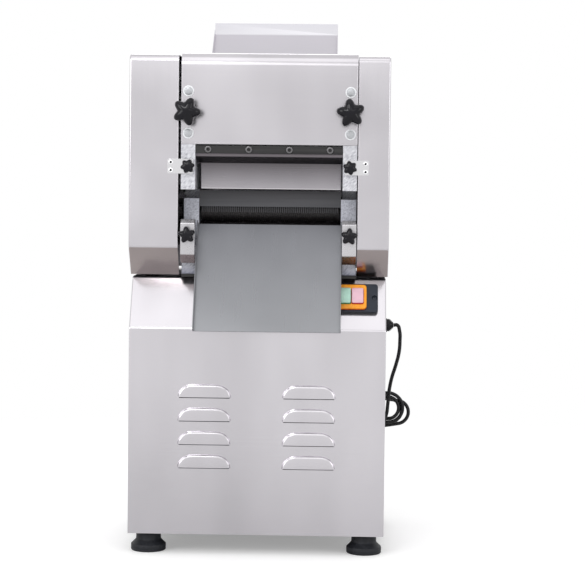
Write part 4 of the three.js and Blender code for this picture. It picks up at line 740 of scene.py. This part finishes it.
bmesh.ops.transform(tool, matrix=slopeFrame, verts=addBox(tool, *switch["hole"]))
bm = withLouvres(cutAway(bm, tool), cabinet["front"], -1, cabinet["rows"])
pieceFor("cabinet_shell", bm, 0.25)

backPanel = {"front": 203.5, "flangeFront": 191, "rows": 2}
low, high = corners("cabinet_back_panel")
bm = bmesh.new()
addBox(bm, (low.x, high.x), (backPanel["front"], cabinet["rear"]), (low.z, high.z))
flangeY = (backPanel["flangeFront"], backPanel["front"] + 0.1)
addBox(bm, (low.x, high.x), flangeY, (low.z, low.z + cabinet["sheet"]))
pieceFor("cabinet_back_panel", withLouvres(bm, cabinet["rear"], 1, backPanel["rows"]), 0.25)
pieceFor("base_frame", merged("base_frame"), 0.8)
print("cabinet made")


# Levelling feet: rubber pads on studs
foot = {
    "steps": 56,
    "profile": [
        (0, 0), (27.5, 0), (29.6, 0.5), (30.7, 1.8), (31, 3.4), (30.4, 4.2), (30.4, 4.8), (31, 5.6),
        (31, 10.8), (30.5, 12.2), (29.2, 13.2), (23.6, 18.8), (22.3, 20.4), (22, 22.2), (22, 33.6),
        (21.4, 34.7), (20.4, 35), (6, 35), (6, 44.2), (5.2, 45), (0, 45),
    ],
}
for node in ("foot_front_left", "foot_front_right", "foot_rear_left", "foot_rear_right"):
    low, high = corners(node)
    bm = bmesh.new()
    addTurned(bm, foot["profile"], ((low.x + high.x) / 2, (low.y + high.y) / 2, 0), "Z", foot["steps"])
    outwards(bm)
    pieceFor(node, bm)
print("feet made")

# Where the knobs of each side stand, and the height of the rollers and their gap screws
knobX = {"left": -124.5, "right": 158.5}
rollerZ = 775

# Covers of the head: bent sheet, open towards what they cover
cover = {
    "front": -159, "rear": 171, "top": 879, "bend": 22, "bendSteps": 12, "sheet": 1.5, "outer": 3,
    "hem": 3.2, "hemRise": 0.45, "hemRound": 0.4, "hemTop": 856,
    "inside": (17, 0, 775), "insideRear": (17, 100, 775),
    "knobHole": 8.5, "boltHole": 5.5, "boltPitch": 73.5,
}


# A sheet bent once at the middle of a path of (y, z) points, with its wall towards a point inside
def bentSheet(path, x, inside):
    bm = bmesh.new()
    chain = [bm.verts.new((x[0], y, z)) for y, z in path]
    edges = [bm.edges.new(pair) for pair in zip(chain, chain[1:])]
    grown = bmesh.ops.extrude_edge_only(bm, edges=edges)["geom"]
    bmesh.ops.translate(bm, vec=(x[1] - x[0], 0, 0), verts=vertsOf(grown))
    bendY, bendZ = path[1]

    def atBend(vert):
        return abs(vert.y - bendY) < 0.01 and abs(vert.z - bendZ) < 0.01

    bend = edgesWhere(bm, lambda a, b: atBend(a) and atBend(b))
    roundEdges(bm, bend, cover["bend"], cover["bendSteps"])
    outwards(bm)
    for face in bm.faces:
        if face.normal.dot(face.calc_center_median() - Vector(inside)) < 0:
            face.normal_flip()
    bmesh.ops.solidify(bm, geom=bm.faces, thickness=cover["sheet"])
    return bm


# A folded hem down a cover's front, from its edge at x into the cover
def addHem(bm, x, into, width, z):
    hem = bmesh.new()
    y = (cover["front"] - cover["hemRise"], cover["front"] + 0.2)
    addBox(hem, sorted((x + into * 0.1, x + into * width)), y, z)
    upright = edgesWhere(hem, lambda a, b: abs(a.z - b.z) > 1 and a.y < cover["front"])
    roundEdges(hem, upright, cover["hemRound"], 3)
    join(bm, hem)


low, high = corners("front_cover")
coverX = (low.x, high.x)
path = [(high.y, cover["top"]), (cover["front"], cover["top"]), (cover["front"], low.z)]
bm = bentSheet(path, coverX, cover["inside"])
hemY = (cover["front"] - 0.5, cover["front"] + 0.3)
addBox(bm, (coverX[0] + 0.2, coverX[1] - 0.2), hemY, (low.z, low.z + cover["hem"]))
tool = bmesh.new()
for x in knobX.values():
    addBar(tool, cover["knobHole"], 6, (x, cover["front"], rollerZ), "Y")
    for z in (rollerZ - cover["boltPitch"] / 2, rollerZ + cover["boltPitch"] / 2):
        addBar(tool, cover["boltHole"], 6, (x, cover["front"], z), "Y", 24)
bm = cutAway(bm, tool)
for x in coverX:
    addHem(bm, x, -1 if x > 0 else 1, 1.9, (low.z, cover["hemTop"]))
pieceFor("front_cover", bm, 0.25)

low, high = corners("rear_cover")
path = [(cover["rear"], low.z), (cover["rear"], cover["top"]), (low.y, cover["top"])]
pieceFor("rear_cover", bentSheet(path, coverX, cover["insideRear"]), 0.25)

sideCover = {
    "outer": {"left": -228, "right": 228}, "edge": {"left": -141.5, "right": 172.5}, "bottom": 488.5,
    "knee": 538.5, "kneeY": -119, "top": 875, "bend": 11, "kneeRadius": 3,
}
tab = {
    "height": 26, "thickness": 1.6, "lap": 19, "pastKnob": 9.5, "corner": 2.5, "slot": 4.4, "z": 680.5,
    "rivetPitch": 14, "rivetInset": 6, "rivetRadius": 4.3, "rivetHole": 1.85, "rivetTop": -161.4,
    "rivet": [
        (0, 0), (4.2, 0), (4.2, -1.7), (3.9, -2.3), (3.2, -2.7), (2.4, -2.8), (1.9, -2.5), (1.8, -1.75),
        (0, -1.75),
    ],
}


# The riveted tab with its open slot, which the cover's knob clamps
def clampTab(edgeX, x, inward, rivetX):
    bm = bmesh.new()
    y = (cover["front"] - tab["thickness"], cover["front"] + 0.1)
    z = (tab["z"] - tab["height"] / 2, tab["z"] + tab["height"] / 2)
    addBox(bm, sorted((edgeX - inward * tab["lap"], x + inward * tab["pastKnob"])), y, z)
    roundEdges(bm, edgesWhere(bm, lambda a, b: abs(a.y - b.y) > 1), tab["corner"], 4)
    tool = bmesh.new()
    addBox(tool, sorted((x, x + inward * 20)), (-170, -150), (tab["z"] - tab["slot"], tab["z"] + tab["slot"]))
    addBar(tool, tab["slot"], 10, (x, -160, tab["z"]), "Y")
    bm = cutAway(bm, tool)
    for rivetZ in (tab["z"] - tab["rivetPitch"] / 2, tab["z"] + tab["rivetPitch"] / 2):
        addTurned(bm, tab["rivet"], (rivetX, cover["front"], rivetZ), "Y", 24)
    outwards(bm)
    return bm


for side, x in knobX.items():
    outerX, edgeX = sideCover["outer"][side], sideCover["edge"][side]
    inward = math.copysign(1, x - edgeX)
    bm = bmesh.new()
    addPrism(bm, [
        (sideCover["kneeY"], sideCover["bottom"]), (cover["front"], sideCover["knee"]),
        (cover["front"], sideCover["top"]), (cover["rear"], sideCover["top"]),
        (cover["rear"], sideCover["bottom"]),
    ], (outerX, edgeX))
    outwards(bm)
    removeFaces(bm, lambda normal: normal.z < -0.9 or normal.x * inward > 0.9)
    roundEdges(bm, edgesAlongX(bm, lambda a, b: min(a.z, b.z) > 870), sideCover["bend"], 8)
    roundEdges(bm, edgesAlongX(bm, lambda a, b: 530 < a.z < 545 and a.y < -150), sideCover["kneeRadius"], 3)
    outerEdges = edgesWhere(bm, lambda a, b: abs(a.x - outerX) < 0.1 and abs(b.x - outerX) < 0.1)
    roundEdges(bm, [edge for edge in outerEdges if len(edge.link_faces) == 2], cover["outer"], 4)
    bmesh.ops.solidify(bm, geom=bm.faces, thickness=cover["sheet"])
    outwards(bm)
    addHem(bm, edgeX, -inward, 1.8, (sideCover["knee"] + 3, sideCover["top"] - 12))
    rivetX = edgeX - inward * (tab["lap"] - tab["rivetInset"])
    clamp = clampTab(edgeX, x, inward, rivetX)
    whole = pieceFor(f"{side}_cover", bm, 0.3, coverSteel)
    # painted reflection: the sloping foot of the cover gets a darker, brownish tone for what it would mirror
    # under it
    finishFaces(whole, flangeSteel, lambda polygon: polygon.normal.z < -0.5 and polygon.normal.y < -0.5)
    clamped = makePiece(f"{side}CoverTab", clamp, f"{side}_cover", "brushed_stainless", 0.25, finish=tabSteel)

    def onRivet(polygon, radius, deep):
        away = polygon.center / mm - Vector((rivetX, 0, tab["z"]))
        return (
            math.hypot(abs(away.z) - tab["rivetPitch"] / 2, away.x) < radius
            and deep < away.y < cover["front"] - tab["thickness"] - 0.02
        )

    finishFaces(clamped, rivetSteel, lambda polygon: onRivet(polygon, tab["rivetRadius"], -math.inf))
    # the rivets' hollows are painted black as shade
    finishFaces(clamped, darkHole, lambda polygon: onRivet(polygon, tab["rivetHole"], tab["rivetTop"]))
print("covers made")


# Star knobs: lobed rings, one above the other, that grow round towards a domed middle
gapKnob = {
    "radius": 25, "valley": 0.66, "lobes": 5, "grip": 22, "hub": 20, "hubRadius": 13, "screw": 8, "dome": 6.5,
    "y": -170, "z": rollerZ, "screwLength": 81.15, "turn": {"left": 68, "right": 98},
}
coverKnob = {
    "radius": 12.5, "valley": 0.76, "lobes": 6, "grip": 11, "hub": 5, "hubRadius": 8, "screw": 4, "dome": 3,
    "y": -160.85, "z": tab["z"], "screwLength": 25.2, "turn": {"left": 10, "right": 40},
}
keeperKnob = {
    "radius": 15, "valley": 0.66, "lobes": 5, "grip": 13, "hub": 10, "hubRadius": 8, "screw": 4, "dome": 3.6,
    "y": -160.25, "z": 561, "screwLength": 69.6, "turn": {"left": 25, "right": 13},
}
knobShape = {
    "lobePower": 0.86, "stepsPerLobe": 24, "domeFrom": 0.8,
    "rings": [  # share of the grip's height, share of the radius, and how lobed it is
        (0, 0.88, 1), (0.06, 0.94, 1), (0.16, 0.985, 1), (0.3, 1, 1), (0.62, 1, 1), (0.76, 0.985, 1),
        (0.87, 0.94, 1), (0.95, 0.86, 0.97), (0.99, 0.76, 0.9), (1, 0.62, 0.75), (1, 0.45, 0.5),
        (1, 0.28, 0.25), (1, 0.12, 0),
    ],
}


def starKnob(node, size, side):
    turn, screwLength = size["turn"][side], size["screwLength"]
    bm = bmesh.new()
    rings = []
    for rise, share, lobed in knobShape["rings"]:
        segments = size["lobes"] * knobShape["stepsPerLobe"]
        ring = bmesh.ops.create_circle(bm, radius=1, segments=segments)["verts"]
        for vert in ring:
            angle = math.atan2(vert.co.y, vert.co.x)
            wave = (1 + math.cos(size["lobes"] * (angle - math.radians(turn)))) / 2
            star = size["valley"] + (1 - size["valley"]) * wave ** knobShape["lobePower"]
            even = (1 + size["valley"]) / 2
            reach = size["radius"] * share * (star * lobed + even * (1 - lobed))
            height = size["hub"] + (size["grip"] - size["dome"]) * rise
            if rise > knobShape["domeFrom"]:
                height += size["dome"] * (1 - share * share)
            vert.co = (reach * math.cos(angle), reach * math.sin(angle), height)
        rings.append(list({edge for vert in ring for edge in vert.link_edges}))
    for below, above in zip(rings, rings[1:]):
        bmesh.ops.bridge_loops(bm, edges=below + above)
    bmesh.ops.holes_fill(bm, edges=rings[0] + rings[-1], sides=0)
    half = size["hub"] + size["grip"] / 2
    addTurned(bm, [
        (0, -screwLength), (size["screw"] - 0.8, -screwLength), (size["screw"], 0.8 - screwLength),
        (size["screw"], 0), (size["hubRadius"] - 0.6, 0), (size["hubRadius"], 0.6),
        (size["hubRadius"], size["hub"] * 0.7),
        (size["hubRadius"] * 1.12, size["hub"] + 1), (size["hubRadius"] * 0.9, half), (0, half),
    ], (0, 0, 0), "Z", 40)
    outwards(bm)
    bmesh.ops.rotate(bm, cent=(0, 0, 0), matrix=Matrix.Rotation(math.pi / 2, 3, "X"), verts=bm.verts)
    bmesh.ops.translate(bm, vec=(knobX[side], size["y"], size["z"]), verts=bm.verts)
    knob = pieceFor(node, bm, smooth=50)
    finishFaces(knob, finishes["machined_steel"], lambda polygon: polygon.center.y > (size["y"] + 0.4) * mm)


for side in knobX:
    for name, size in (("gap", gapKnob), ("cover", coverKnob), ("keeper", keeperKnob)):
        starKnob(f"{name}_knob_{side}", size, side)
print("knobs made")


# Adjuster plates: the plate in the frame's pocket, with washered hex bolts over the cover
adjuster = {
    "front": -157.25, "hole": 8.4, "cover": -159.25, "washerThickness": 1.6, "head": 7.1, "headHeight": 4.4,
    "headRound": 0.9, "shank": [(0, 12), (5, 12), (5, -0.5), (0, -0.5)],
    "washer": [(0, 0), (9.3, 0), (9.8, -0.4), (9.8, -1.1), (9.3, -1.6), (7.4, -1.6), (7.3, -2), (0, -2)],
}
headY = adjuster["cover"] - adjuster["washerThickness"]
for side, x in knobX.items():
    low, high = corners(f"adjuster_plate_{side}")
    bm = bmesh.new()
    addBox(bm, (low.x, high.x), (adjuster["front"], high.y), (low.z, high.z))
    tool = bmesh.new()
    addBar(tool, adjuster["hole"], 12, (x, -152, rollerZ), "Y")
    pieceFor(f"adjuster_plate_{side}", cutAway(bm, tool), 0.5)
    for level, up in (("Low", -1), ("High", 1)):
        z = rollerZ + up * cover["boltPitch"] / 2
        bm = bmesh.new()
        addTurned(bm, adjuster["washer"], (x, adjuster["cover"], z), "Y", 40)
        addTurned(bm, adjuster["shank"], (x, adjuster["cover"], z), "Y", 24)
        addHex(bm, adjuster["head"], adjuster["headHeight"], adjuster["headRound"], (x, headY - 0.1, z), "X")
        outwards(bm)
        name = f"coverBolt{side.capitalize()}{level}"
        bolt = makePiece(name, bm, "machine", "machined_steel", finish=washerZinc, smooth=30)
        # the hex heads take a darker copy of the zinc as painted shade
        finishFaces(bolt, boltZinc, lambda polygon: polygon.center.y < (headY - 0.35) * mm)
print("bolts made")


# Frames, blocks, caps, plain sheets, guides, motor, belt and gears keep their CAD shapes, with broken edges
for node, edge, finish in (
    ("side_frame_left", 0.7, None), ("side_frame_right", 0.7, None), ("head_base_plate", 0.6, None),
    ("bearing_block_left", 0.5, None), ("bearing_block_right", 0.5, None), ("cutter_block_left", 1.2, None),
    ("cutter_block_right", 1.2, None),
    ("keeper_cap_left", 0.9, capSteel), ("keeper_cap_right", 0.9, capSteel),
    ("noodle_chute", 0.2, chuteSteel), ("feed_tray", 0.2, traySteel), ("dough_guide_left", 0.8, None),
    ("dough_guide_right", 0.8, None), ("motor_body", 0.8, None), ("drive_belt", 0.5, None),
    ("countershaft_pinion", 0.3, None), ("bull_gear", 0.3, None), ("rear_roller_gear", 0.3, None),
    ("front_roller_gear", 0.3, None), ("idler_gear", 0.3, None), ("cutter_drive_gear", 0.3, None),
):
    pieceFor(node, merged(node), edge, finish)
print("frames and gears dressed")


# Front cross bar with four socket screws
bar = {
    "front": -157.25, "pitch": 71, "count": 4, "middle": 17,
    "screw": [
        (0, 4), (3.5, 4), (3.5, 0), (5.4, 0), (6, -0.6), (6, -2.2), (5.6, -2.8), (5.1, -3), (3.1, -3),
        (2.8, -2.6), (2.8, 0.6), (0, 1.2),
    ],
}
low, high = corners("front_cross_bar")
bm = bmesh.new()
addBox(bm, (low.x, high.x), (bar["front"], high.y), (low.z, high.z))
pieceFor("front_cross_bar", bm, 0.8)
for i in range(bar["count"]):
    x = bar["middle"] + (i - (bar["count"] - 1) / 2) * bar["pitch"]
    bm = bmesh.new()
    addTurned(bm, bar["screw"], (x, bar["front"], (low.z + high.z) / 2), "Y", 32)
    outwards(bm)
    makePiece(f"crossBarScrew{i + 1}", bm, "machine", "dark_steel", finish=screwSteel)
print("cross bar made")


# Rollers
roller = {"radius": 42, "journal": 17.5, "body": (-111, 145), "chamfer": 1.2}
for node, axisY, shaft in (("rear_roller", 27.05, (-174, 203)), ("front_roller", -58.45, (-138, 203))):
    left, right = roller["body"]
    radius, chamfer, journal = roller["radius"], roller["chamfer"], roller["journal"]
    bm = bmesh.new()
    addTurned(bm, [
        (0, shaft[0]), (journal - 1, shaft[0]), (journal, shaft[0] + 1), (journal, left),
        (radius - chamfer, left), (radius, left + chamfer),
        (radius, right - chamfer), (radius - chamfer, right),
        (journal, right), (journal, shaft[1] - 1), (journal - 1, shaft[1]), (0, shaft[1]),
    ], (0, axisY, rollerZ), "X", 96)
    outwards(bm)
    pieceFor(node, bm)
print("rollers made")


# Cutters: narrow discs and grooves, the discs of one running in the grooves of the other
cutter = {
    "radius": 21, "root": 17.4, "journal": 8, "disc": 1.75, "pitch": 3.75, "count": 66, "first": -107.5,
    "chamfer": 0.25, "y": -62.25, "shaftLeft": -137, "body": (-108.9, 142.9), "gearEdge": -138,
}
for node, z, shift, shaftRight in (
    ("lower_cutter", 562, 0, 203), ("upper_cutter", 602, cutter["pitch"] / 2, 171),
):
    left, right = cutter["body"]
    radius, root, journal, chamfer = cutter["radius"], cutter["root"], cutter["journal"], cutter["chamfer"]
    profile = [(0, cutter["shaftLeft"]), (journal, cutter["shaftLeft"]), (journal, left), (root, left)]
    for i in range(cutter["count"]):
        start = cutter["first"] + shift + i * cutter["pitch"]
        end = start + cutter["disc"]
        profile += [
            (root, start), (radius - chamfer, start), (radius, start + chamfer), (radius, end - chamfer),
            (radius - chamfer, end), (root, end),
        ]
    profile += [(root, right), (journal, right), (journal, shaftRight), (0, shaftRight)]
    bm = bmesh.new()
    addTurned(bm, profile, (0, cutter["y"], z), "X", 48)
    gear = merged(node)  # its pair gear is the CAD's, cut off where the shaft begins
    everything = gear.verts[:] + gear.edges[:] + gear.faces[:]
    cut = bmesh.ops.bisect_plane(
        gear, geom=everything, plane_co=(cutter["gearEdge"], 0, 0), plane_no=(1, 0, 0), clear_outer=True,
    )["geom_cut"]
    bmesh.ops.holes_fill(gear, edges=[edge for edge in cut if isinstance(edge, bmesh.types.BMEdge)], sides=0)
    join(bm, gear)
    outwards(bm)
    pieceFor(node, bm)
print("cutters made")


# Stripper combs: a plate, and a thin finger into every groove
comb = {"front": -88.75, "sheet": 2, "finger": 1, "fingerDepth": 8.4, "tip": 4.8, "slit": 10}
combWithShade = combSteel()
for node, shift, upwards in (("upper_comb", cutter["pitch"] / 2, 1), ("lower_comb", 0, -1)):
    low, high = corners(node)
    edge, far = (low.z, high.z) if upwards > 0 else (high.z, low.z)
    back = comb["front"] + comb["sheet"]
    firstGap = cutter["first"] + shift + (cutter["pitch"] + cutter["disc"]) / 2
    bm = bmesh.new()
    addBox(bm, (low.x, high.x), (comb["front"], back), sorted((edge + upwards * comb["slit"], far)))
    for i in range(cutter["count"] - 1):
        middle = firstGap + i * cutter["pitch"]
        x = (middle - comb["finger"] / 2, middle + comb["finger"] / 2)
        addBox(bm, x, (comb["front"], back), sorted((edge, edge + upwards * (comb["slit"] + 0.2))))
        tip = sorted((edge, edge + upwards * comb["tip"]))
        addBox(bm, x, (back - 0.1, comb["front"] + comb["fingerDepth"]), tip)
    pieceFor(node, bm, finish=combWithShade)
print("combs made")


# Guide plate: the CAD's bent sheet, its front panel a little narrower than the window
guide = {"clearLeft": 7.5, "clearRight": 3, "panel": (-126, -104), "top": 686}
low, high = corners("front_guide_plate")
tool = bmesh.new()
for x in ((low.x - 1, low.x + guide["clearLeft"]), (high.x - guide["clearRight"], high.x + 1)):
    addBox(tool, x, guide["panel"], (low.z - 1, guide["top"]))
pieceFor("front_guide_plate", cutAway(merged("front_guide_plate"), tool), 0.2, guideSteel)
print("guide plate made")


# Belt pulleys: a groove between two rims, and a dished web round the large one's hub
pulley = {"left": -217, "halfWidth": 11, "groove": 9, "steps": 72, "shaft": 11, "shaftEnd": -60.4}
for node, centre, outer, hub, bore in (
    ("large_pulley", (0, 42.05, 659.47), 92, 24, 11.4), ("motor_pulley", (0, 31, 145.5), 32, 0, 0),
):
    left, root = pulley["left"], outer - pulley["groove"]
    middle = left + pulley["halfWidth"]
    if hub:
        half = [(bore, left), (hub - 1, left), (hub, left + 1), (hub, middle - 4), (root - 5, middle - 4)]
        half += [(root - 4, left + 3)]
    else:
        half = [(0, left), (root - 4, left)]
    half += [(outer - 1, left + 2), (outer, left + 3), (outer, middle - 6), (root, middle - 5)]
    profile = half + [(radius, 2 * middle - place) for radius, place in reversed(half)]
    bm = bmesh.new()
    if hub:
        addTurned(bm, profile + profile[:1], centre, "X", pulley["steps"])
    else:
        shaft, end = pulley["shaft"], pulley["shaftEnd"]
        addTurned(bm, profile, centre, "X", pulley["steps"])
        shaftProfile = [(0, left + 12), (shaft, left + 12), (shaft, end - 0.6), (shaft - 0.6, end), (0, end)]
        addTurned(bm, shaftProfile, centre, "X", 40)
    outwards(bm)
    pieceFor(node, bm)
print("pulleys made")


# Switch on the slope, built flat and laid on it
panel = {
    "width": 94, "height": 56, "bottom": 0.25, "top": 8.25, "corner": 5, "round": 1.4, "screw": 41,
    "sink": [(0, 4.6), (4.9, 4.6), (4.9, 20), (0, 20)], "housing": ((-24, 24), (-21, 21), (-34, -2.7)),
    "screwHead": [(0, 4.5), (4.4, 4.5), (4.4, 6.2), (3.6, 7), (1.6, 7.3), (1.4, 6.3), (0, 6.3)],
}
bezel = {"width": 54, "height": 48, "bottom": 8.5, "top": 13.5, "corner": 6, "round": 2.2}
button = {
    "width": 20.5, "height": 30, "bottom": 1.25, "top": 18, "corner": 2.5, "round": 1.6,
    "spacing": 22, "gap": 0.8,
}
buttonX = {"start_button": -button["spacing"] / 2, "stop_button": button["spacing"] / 2}


def addPill(bm, width, height, radius, z, centreX=0.0):
    made = addBox(bm, (centreX - width / 2, centreX + width / 2), (-height / 2, height / 2), z)
    edges = {edge for vert in made for edge in vert.link_edges}
    upright = [edge for edge in edges if abs(edge.verts[0].co.z - edge.verts[1].co.z) > 0.1]
    roundEdges(bm, upright, radius, 5)


# A plate with round corners and a rounded upper edge
def roundedPlate(size, steps, centreX=0.0):
    bm = bmesh.new()
    addPill(bm, size["width"], size["height"], size["corner"], (size["bottom"], size["top"]), centreX)
    roundEdges(bm, edgesAbove(bm, size["top"] - 0.01), size["round"], steps)
    return bm


# Pits or holes for both buttons, from a depth up
def buttonHoles(depth):
    bm = bmesh.new()
    for x in buttonX.values():
        width, height = button["width"] + button["gap"], button["height"] + button["gap"]
        addPill(bm, width, height, button["corner"], (depth, 30), x)
    return bm


# Lays a shape on the slope, and gives the faces that don't look out from it a finish of their own: a darker
# one as painted shade on the plate and bezel, the full colour under the buttons' painted sheen
def laidPiece(node, bm, sides, edge=0.0, smooth=40):
    bmesh.ops.transform(bm, matrix=slopeFrame, verts=bm.verts)
    out = slopeFrame.to_3x3() @ Vector((0, 0, 1))
    laid = pieceFor(node, bm, edge, smooth=smooth)
    finishFaces(laid, sides, lambda polygon: polygon.normal.dot(out) < 0.35)


tool = buttonHoles(-2.6)
for x in (-panel["screw"], panel["screw"]):
    addTurned(tool, panel["sink"], (x, 0, 0), "Z", 32)
bm = cutAway(roundedPlate(panel, 4), tool)
addBox(bm, *panel["housing"])
for x in (-panel["screw"], panel["screw"]):
    addTurned(bm, panel["screwHead"], (x, 0, 0), "Z", 28)
outwards(bm)
laidPiece("switch_plate", bm, plateSide)
laidPiece("switch_bezel", cutAway(roundedPlate(bezel, 5), buttonHoles(-5)), bezelSide, 0.3)
for node, sides in (("start_button", greenSide), ("stop_button", redSide)):
    bm = roundedPlate(button, 5, buttonX[node])
    outwards(bm)
    laidPiece(node, bm, sides, smooth=50)
print("switch made")


# Whatever CAD node still shows takes its finish
for node, shown in frame["nodes"].items():
    shown.data.materials.clear()
    shown.data.materials.append(finishes[slotOfNode[node]])

# Plain pale floor that fades out
floor = {"size": 12, "tone": (0.8, 0.8, 0.8), "glow": 0.3, "fade": (0.15, 0.55)}
floorMesh = bpy.data.meshes.new("studioFloor")
bm = bmesh.new()
bmesh.ops.create_grid(bm, x_segments=1, y_segments=1, size=floor["size"])
bm.to_mesh(floorMesh)
bm.free()
studioFloor = bpy.data.objects.new("studioFloor", floorMesh)
bpy.context.scene.collection.objects.link(studioFloor)
floorPaint = material("studioFloorPaint", floor["tone"], 0, 0.9)
socket(floorPaint, "Specular IOR Level").default_value = 0.1
socket(floorPaint, "Emission Color").default_value = (1, 1, 1, 1)
nodes, links = floorPaint.node_tree.nodes, floorPaint.node_tree.links
eye = nodes.new("ShaderNodeLightPath")
glow = ranged(floorPaint, eye.outputs["Is Camera Ray"], 0, floor["glow"], 0, 1)
links.new(glow, socket(floorPaint, "Emission Strength"))
fade = nodes.new("ShaderNodeTexGradient")
fade.gradient_type = "SPHERICAL"
spread = nodes.new("ShaderNodeMapping")
spread.inputs["Scale"].default_value = (0.5, 0.5, 0.5)
place = nodes.new("ShaderNodeTexCoord")
clear = nodes.new("ShaderNodeBsdfTransparent")
blend = nodes.new("ShaderNodeMixShader")
links.new(place.outputs["Object"], spread.inputs["Vector"])
links.new(spread.outputs["Vector"], fade.inputs["Vector"])
links.new(ranged(floorPaint, fade.outputs["Fac"], 0, 1, *floor["fade"]), blend.inputs["Fac"])
links.new(clear.outputs["BSDF"], blend.inputs[1])
links.new(nodes["Principled BSDF"].outputs["BSDF"], blend.inputs[2])
links.new(blend.outputs["Shader"], nodes["Material Output"].inputs["Surface"])
floorMesh.materials.append(floorPaint)

# White surroundings, a little weaker where they only light
surround = {"lighting": 0.8, "seen": 1}
world = bpy.data.worlds.new("studio")
bpy.context.scene.world = world
world.use_nodes = True
nodes, links = world.node_tree.nodes, world.node_tree.links
background = nodes["Background"]
background.inputs["Color"].default_value = (1, 1, 1, 1)
rays = nodes.new("ShaderNodeLightPath")
seen = nodes.new("ShaderNodeMath")
seen.operation = "MAXIMUM"
links.new(rays.outputs["Is Camera Ray"], seen.inputs[0])
links.new(rays.outputs["Is Glossy Ray"], seen.inputs[1])
strength = nodes.new("ShaderNodeMapRange")
strength.inputs["To Min"].default_value = surround["lighting"]
strength.inputs["To Max"].default_value = surround["seen"]
links.new(seen.outputs[0], strength.inputs["Value"])
links.new(strength.outputs["Result"], background.inputs["Strength"])

# Sizes in metres, powers in watts
lamps = {
    "overheadBox": {"place": (0, -1250, 2900), "aim": (0, 0, 600), "size": (2.6, 1.5), "power": 6.5},
    "leftBox": {"place": (-2300, -2500, 1500), "aim": (0, 0, 500), "size": (1.4, 1.8), "power": 22},
    "rightBox": {"place": (2600, -2300, 1300), "aim": (0, 0, 500), "size": (1.2, 1.6), "power": 12},
    "backBox": {"place": (300, 2700, 1900), "aim": (0, 0, 500), "size": (2.0, 1.2), "power": 16},
    "smallLamp": {"place": (-700, -2500, 2100), "aim": (0, -100, 600), "size": (0.6, 0.6), "power": 9},
    "frontStrip": {"place": (0, -3300, 1980), "aim": (0, -100, 800), "size": (2.6, 0.9), "power": 5.5},
}
for name, lamp in lamps.items():
    light = bpy.data.lights.new(name, "AREA")
    light.shape = "RECTANGLE"
    light.size, light.size_y = lamp["size"]
    light.energy = lamp["power"]
    holder = bpy.data.objects.new(name, light)
    bpy.context.scene.collection.objects.link(holder)
    holder.location = Vector(lamp["place"]) * mm
    holder.rotation_euler = (Vector(lamp["place"]) - Vector(lamp["aim"])).to_track_quat("Z", "Y").to_euler()
bpy.context.scene.view_settings.view_transform = "Standard"
print("studio lit")
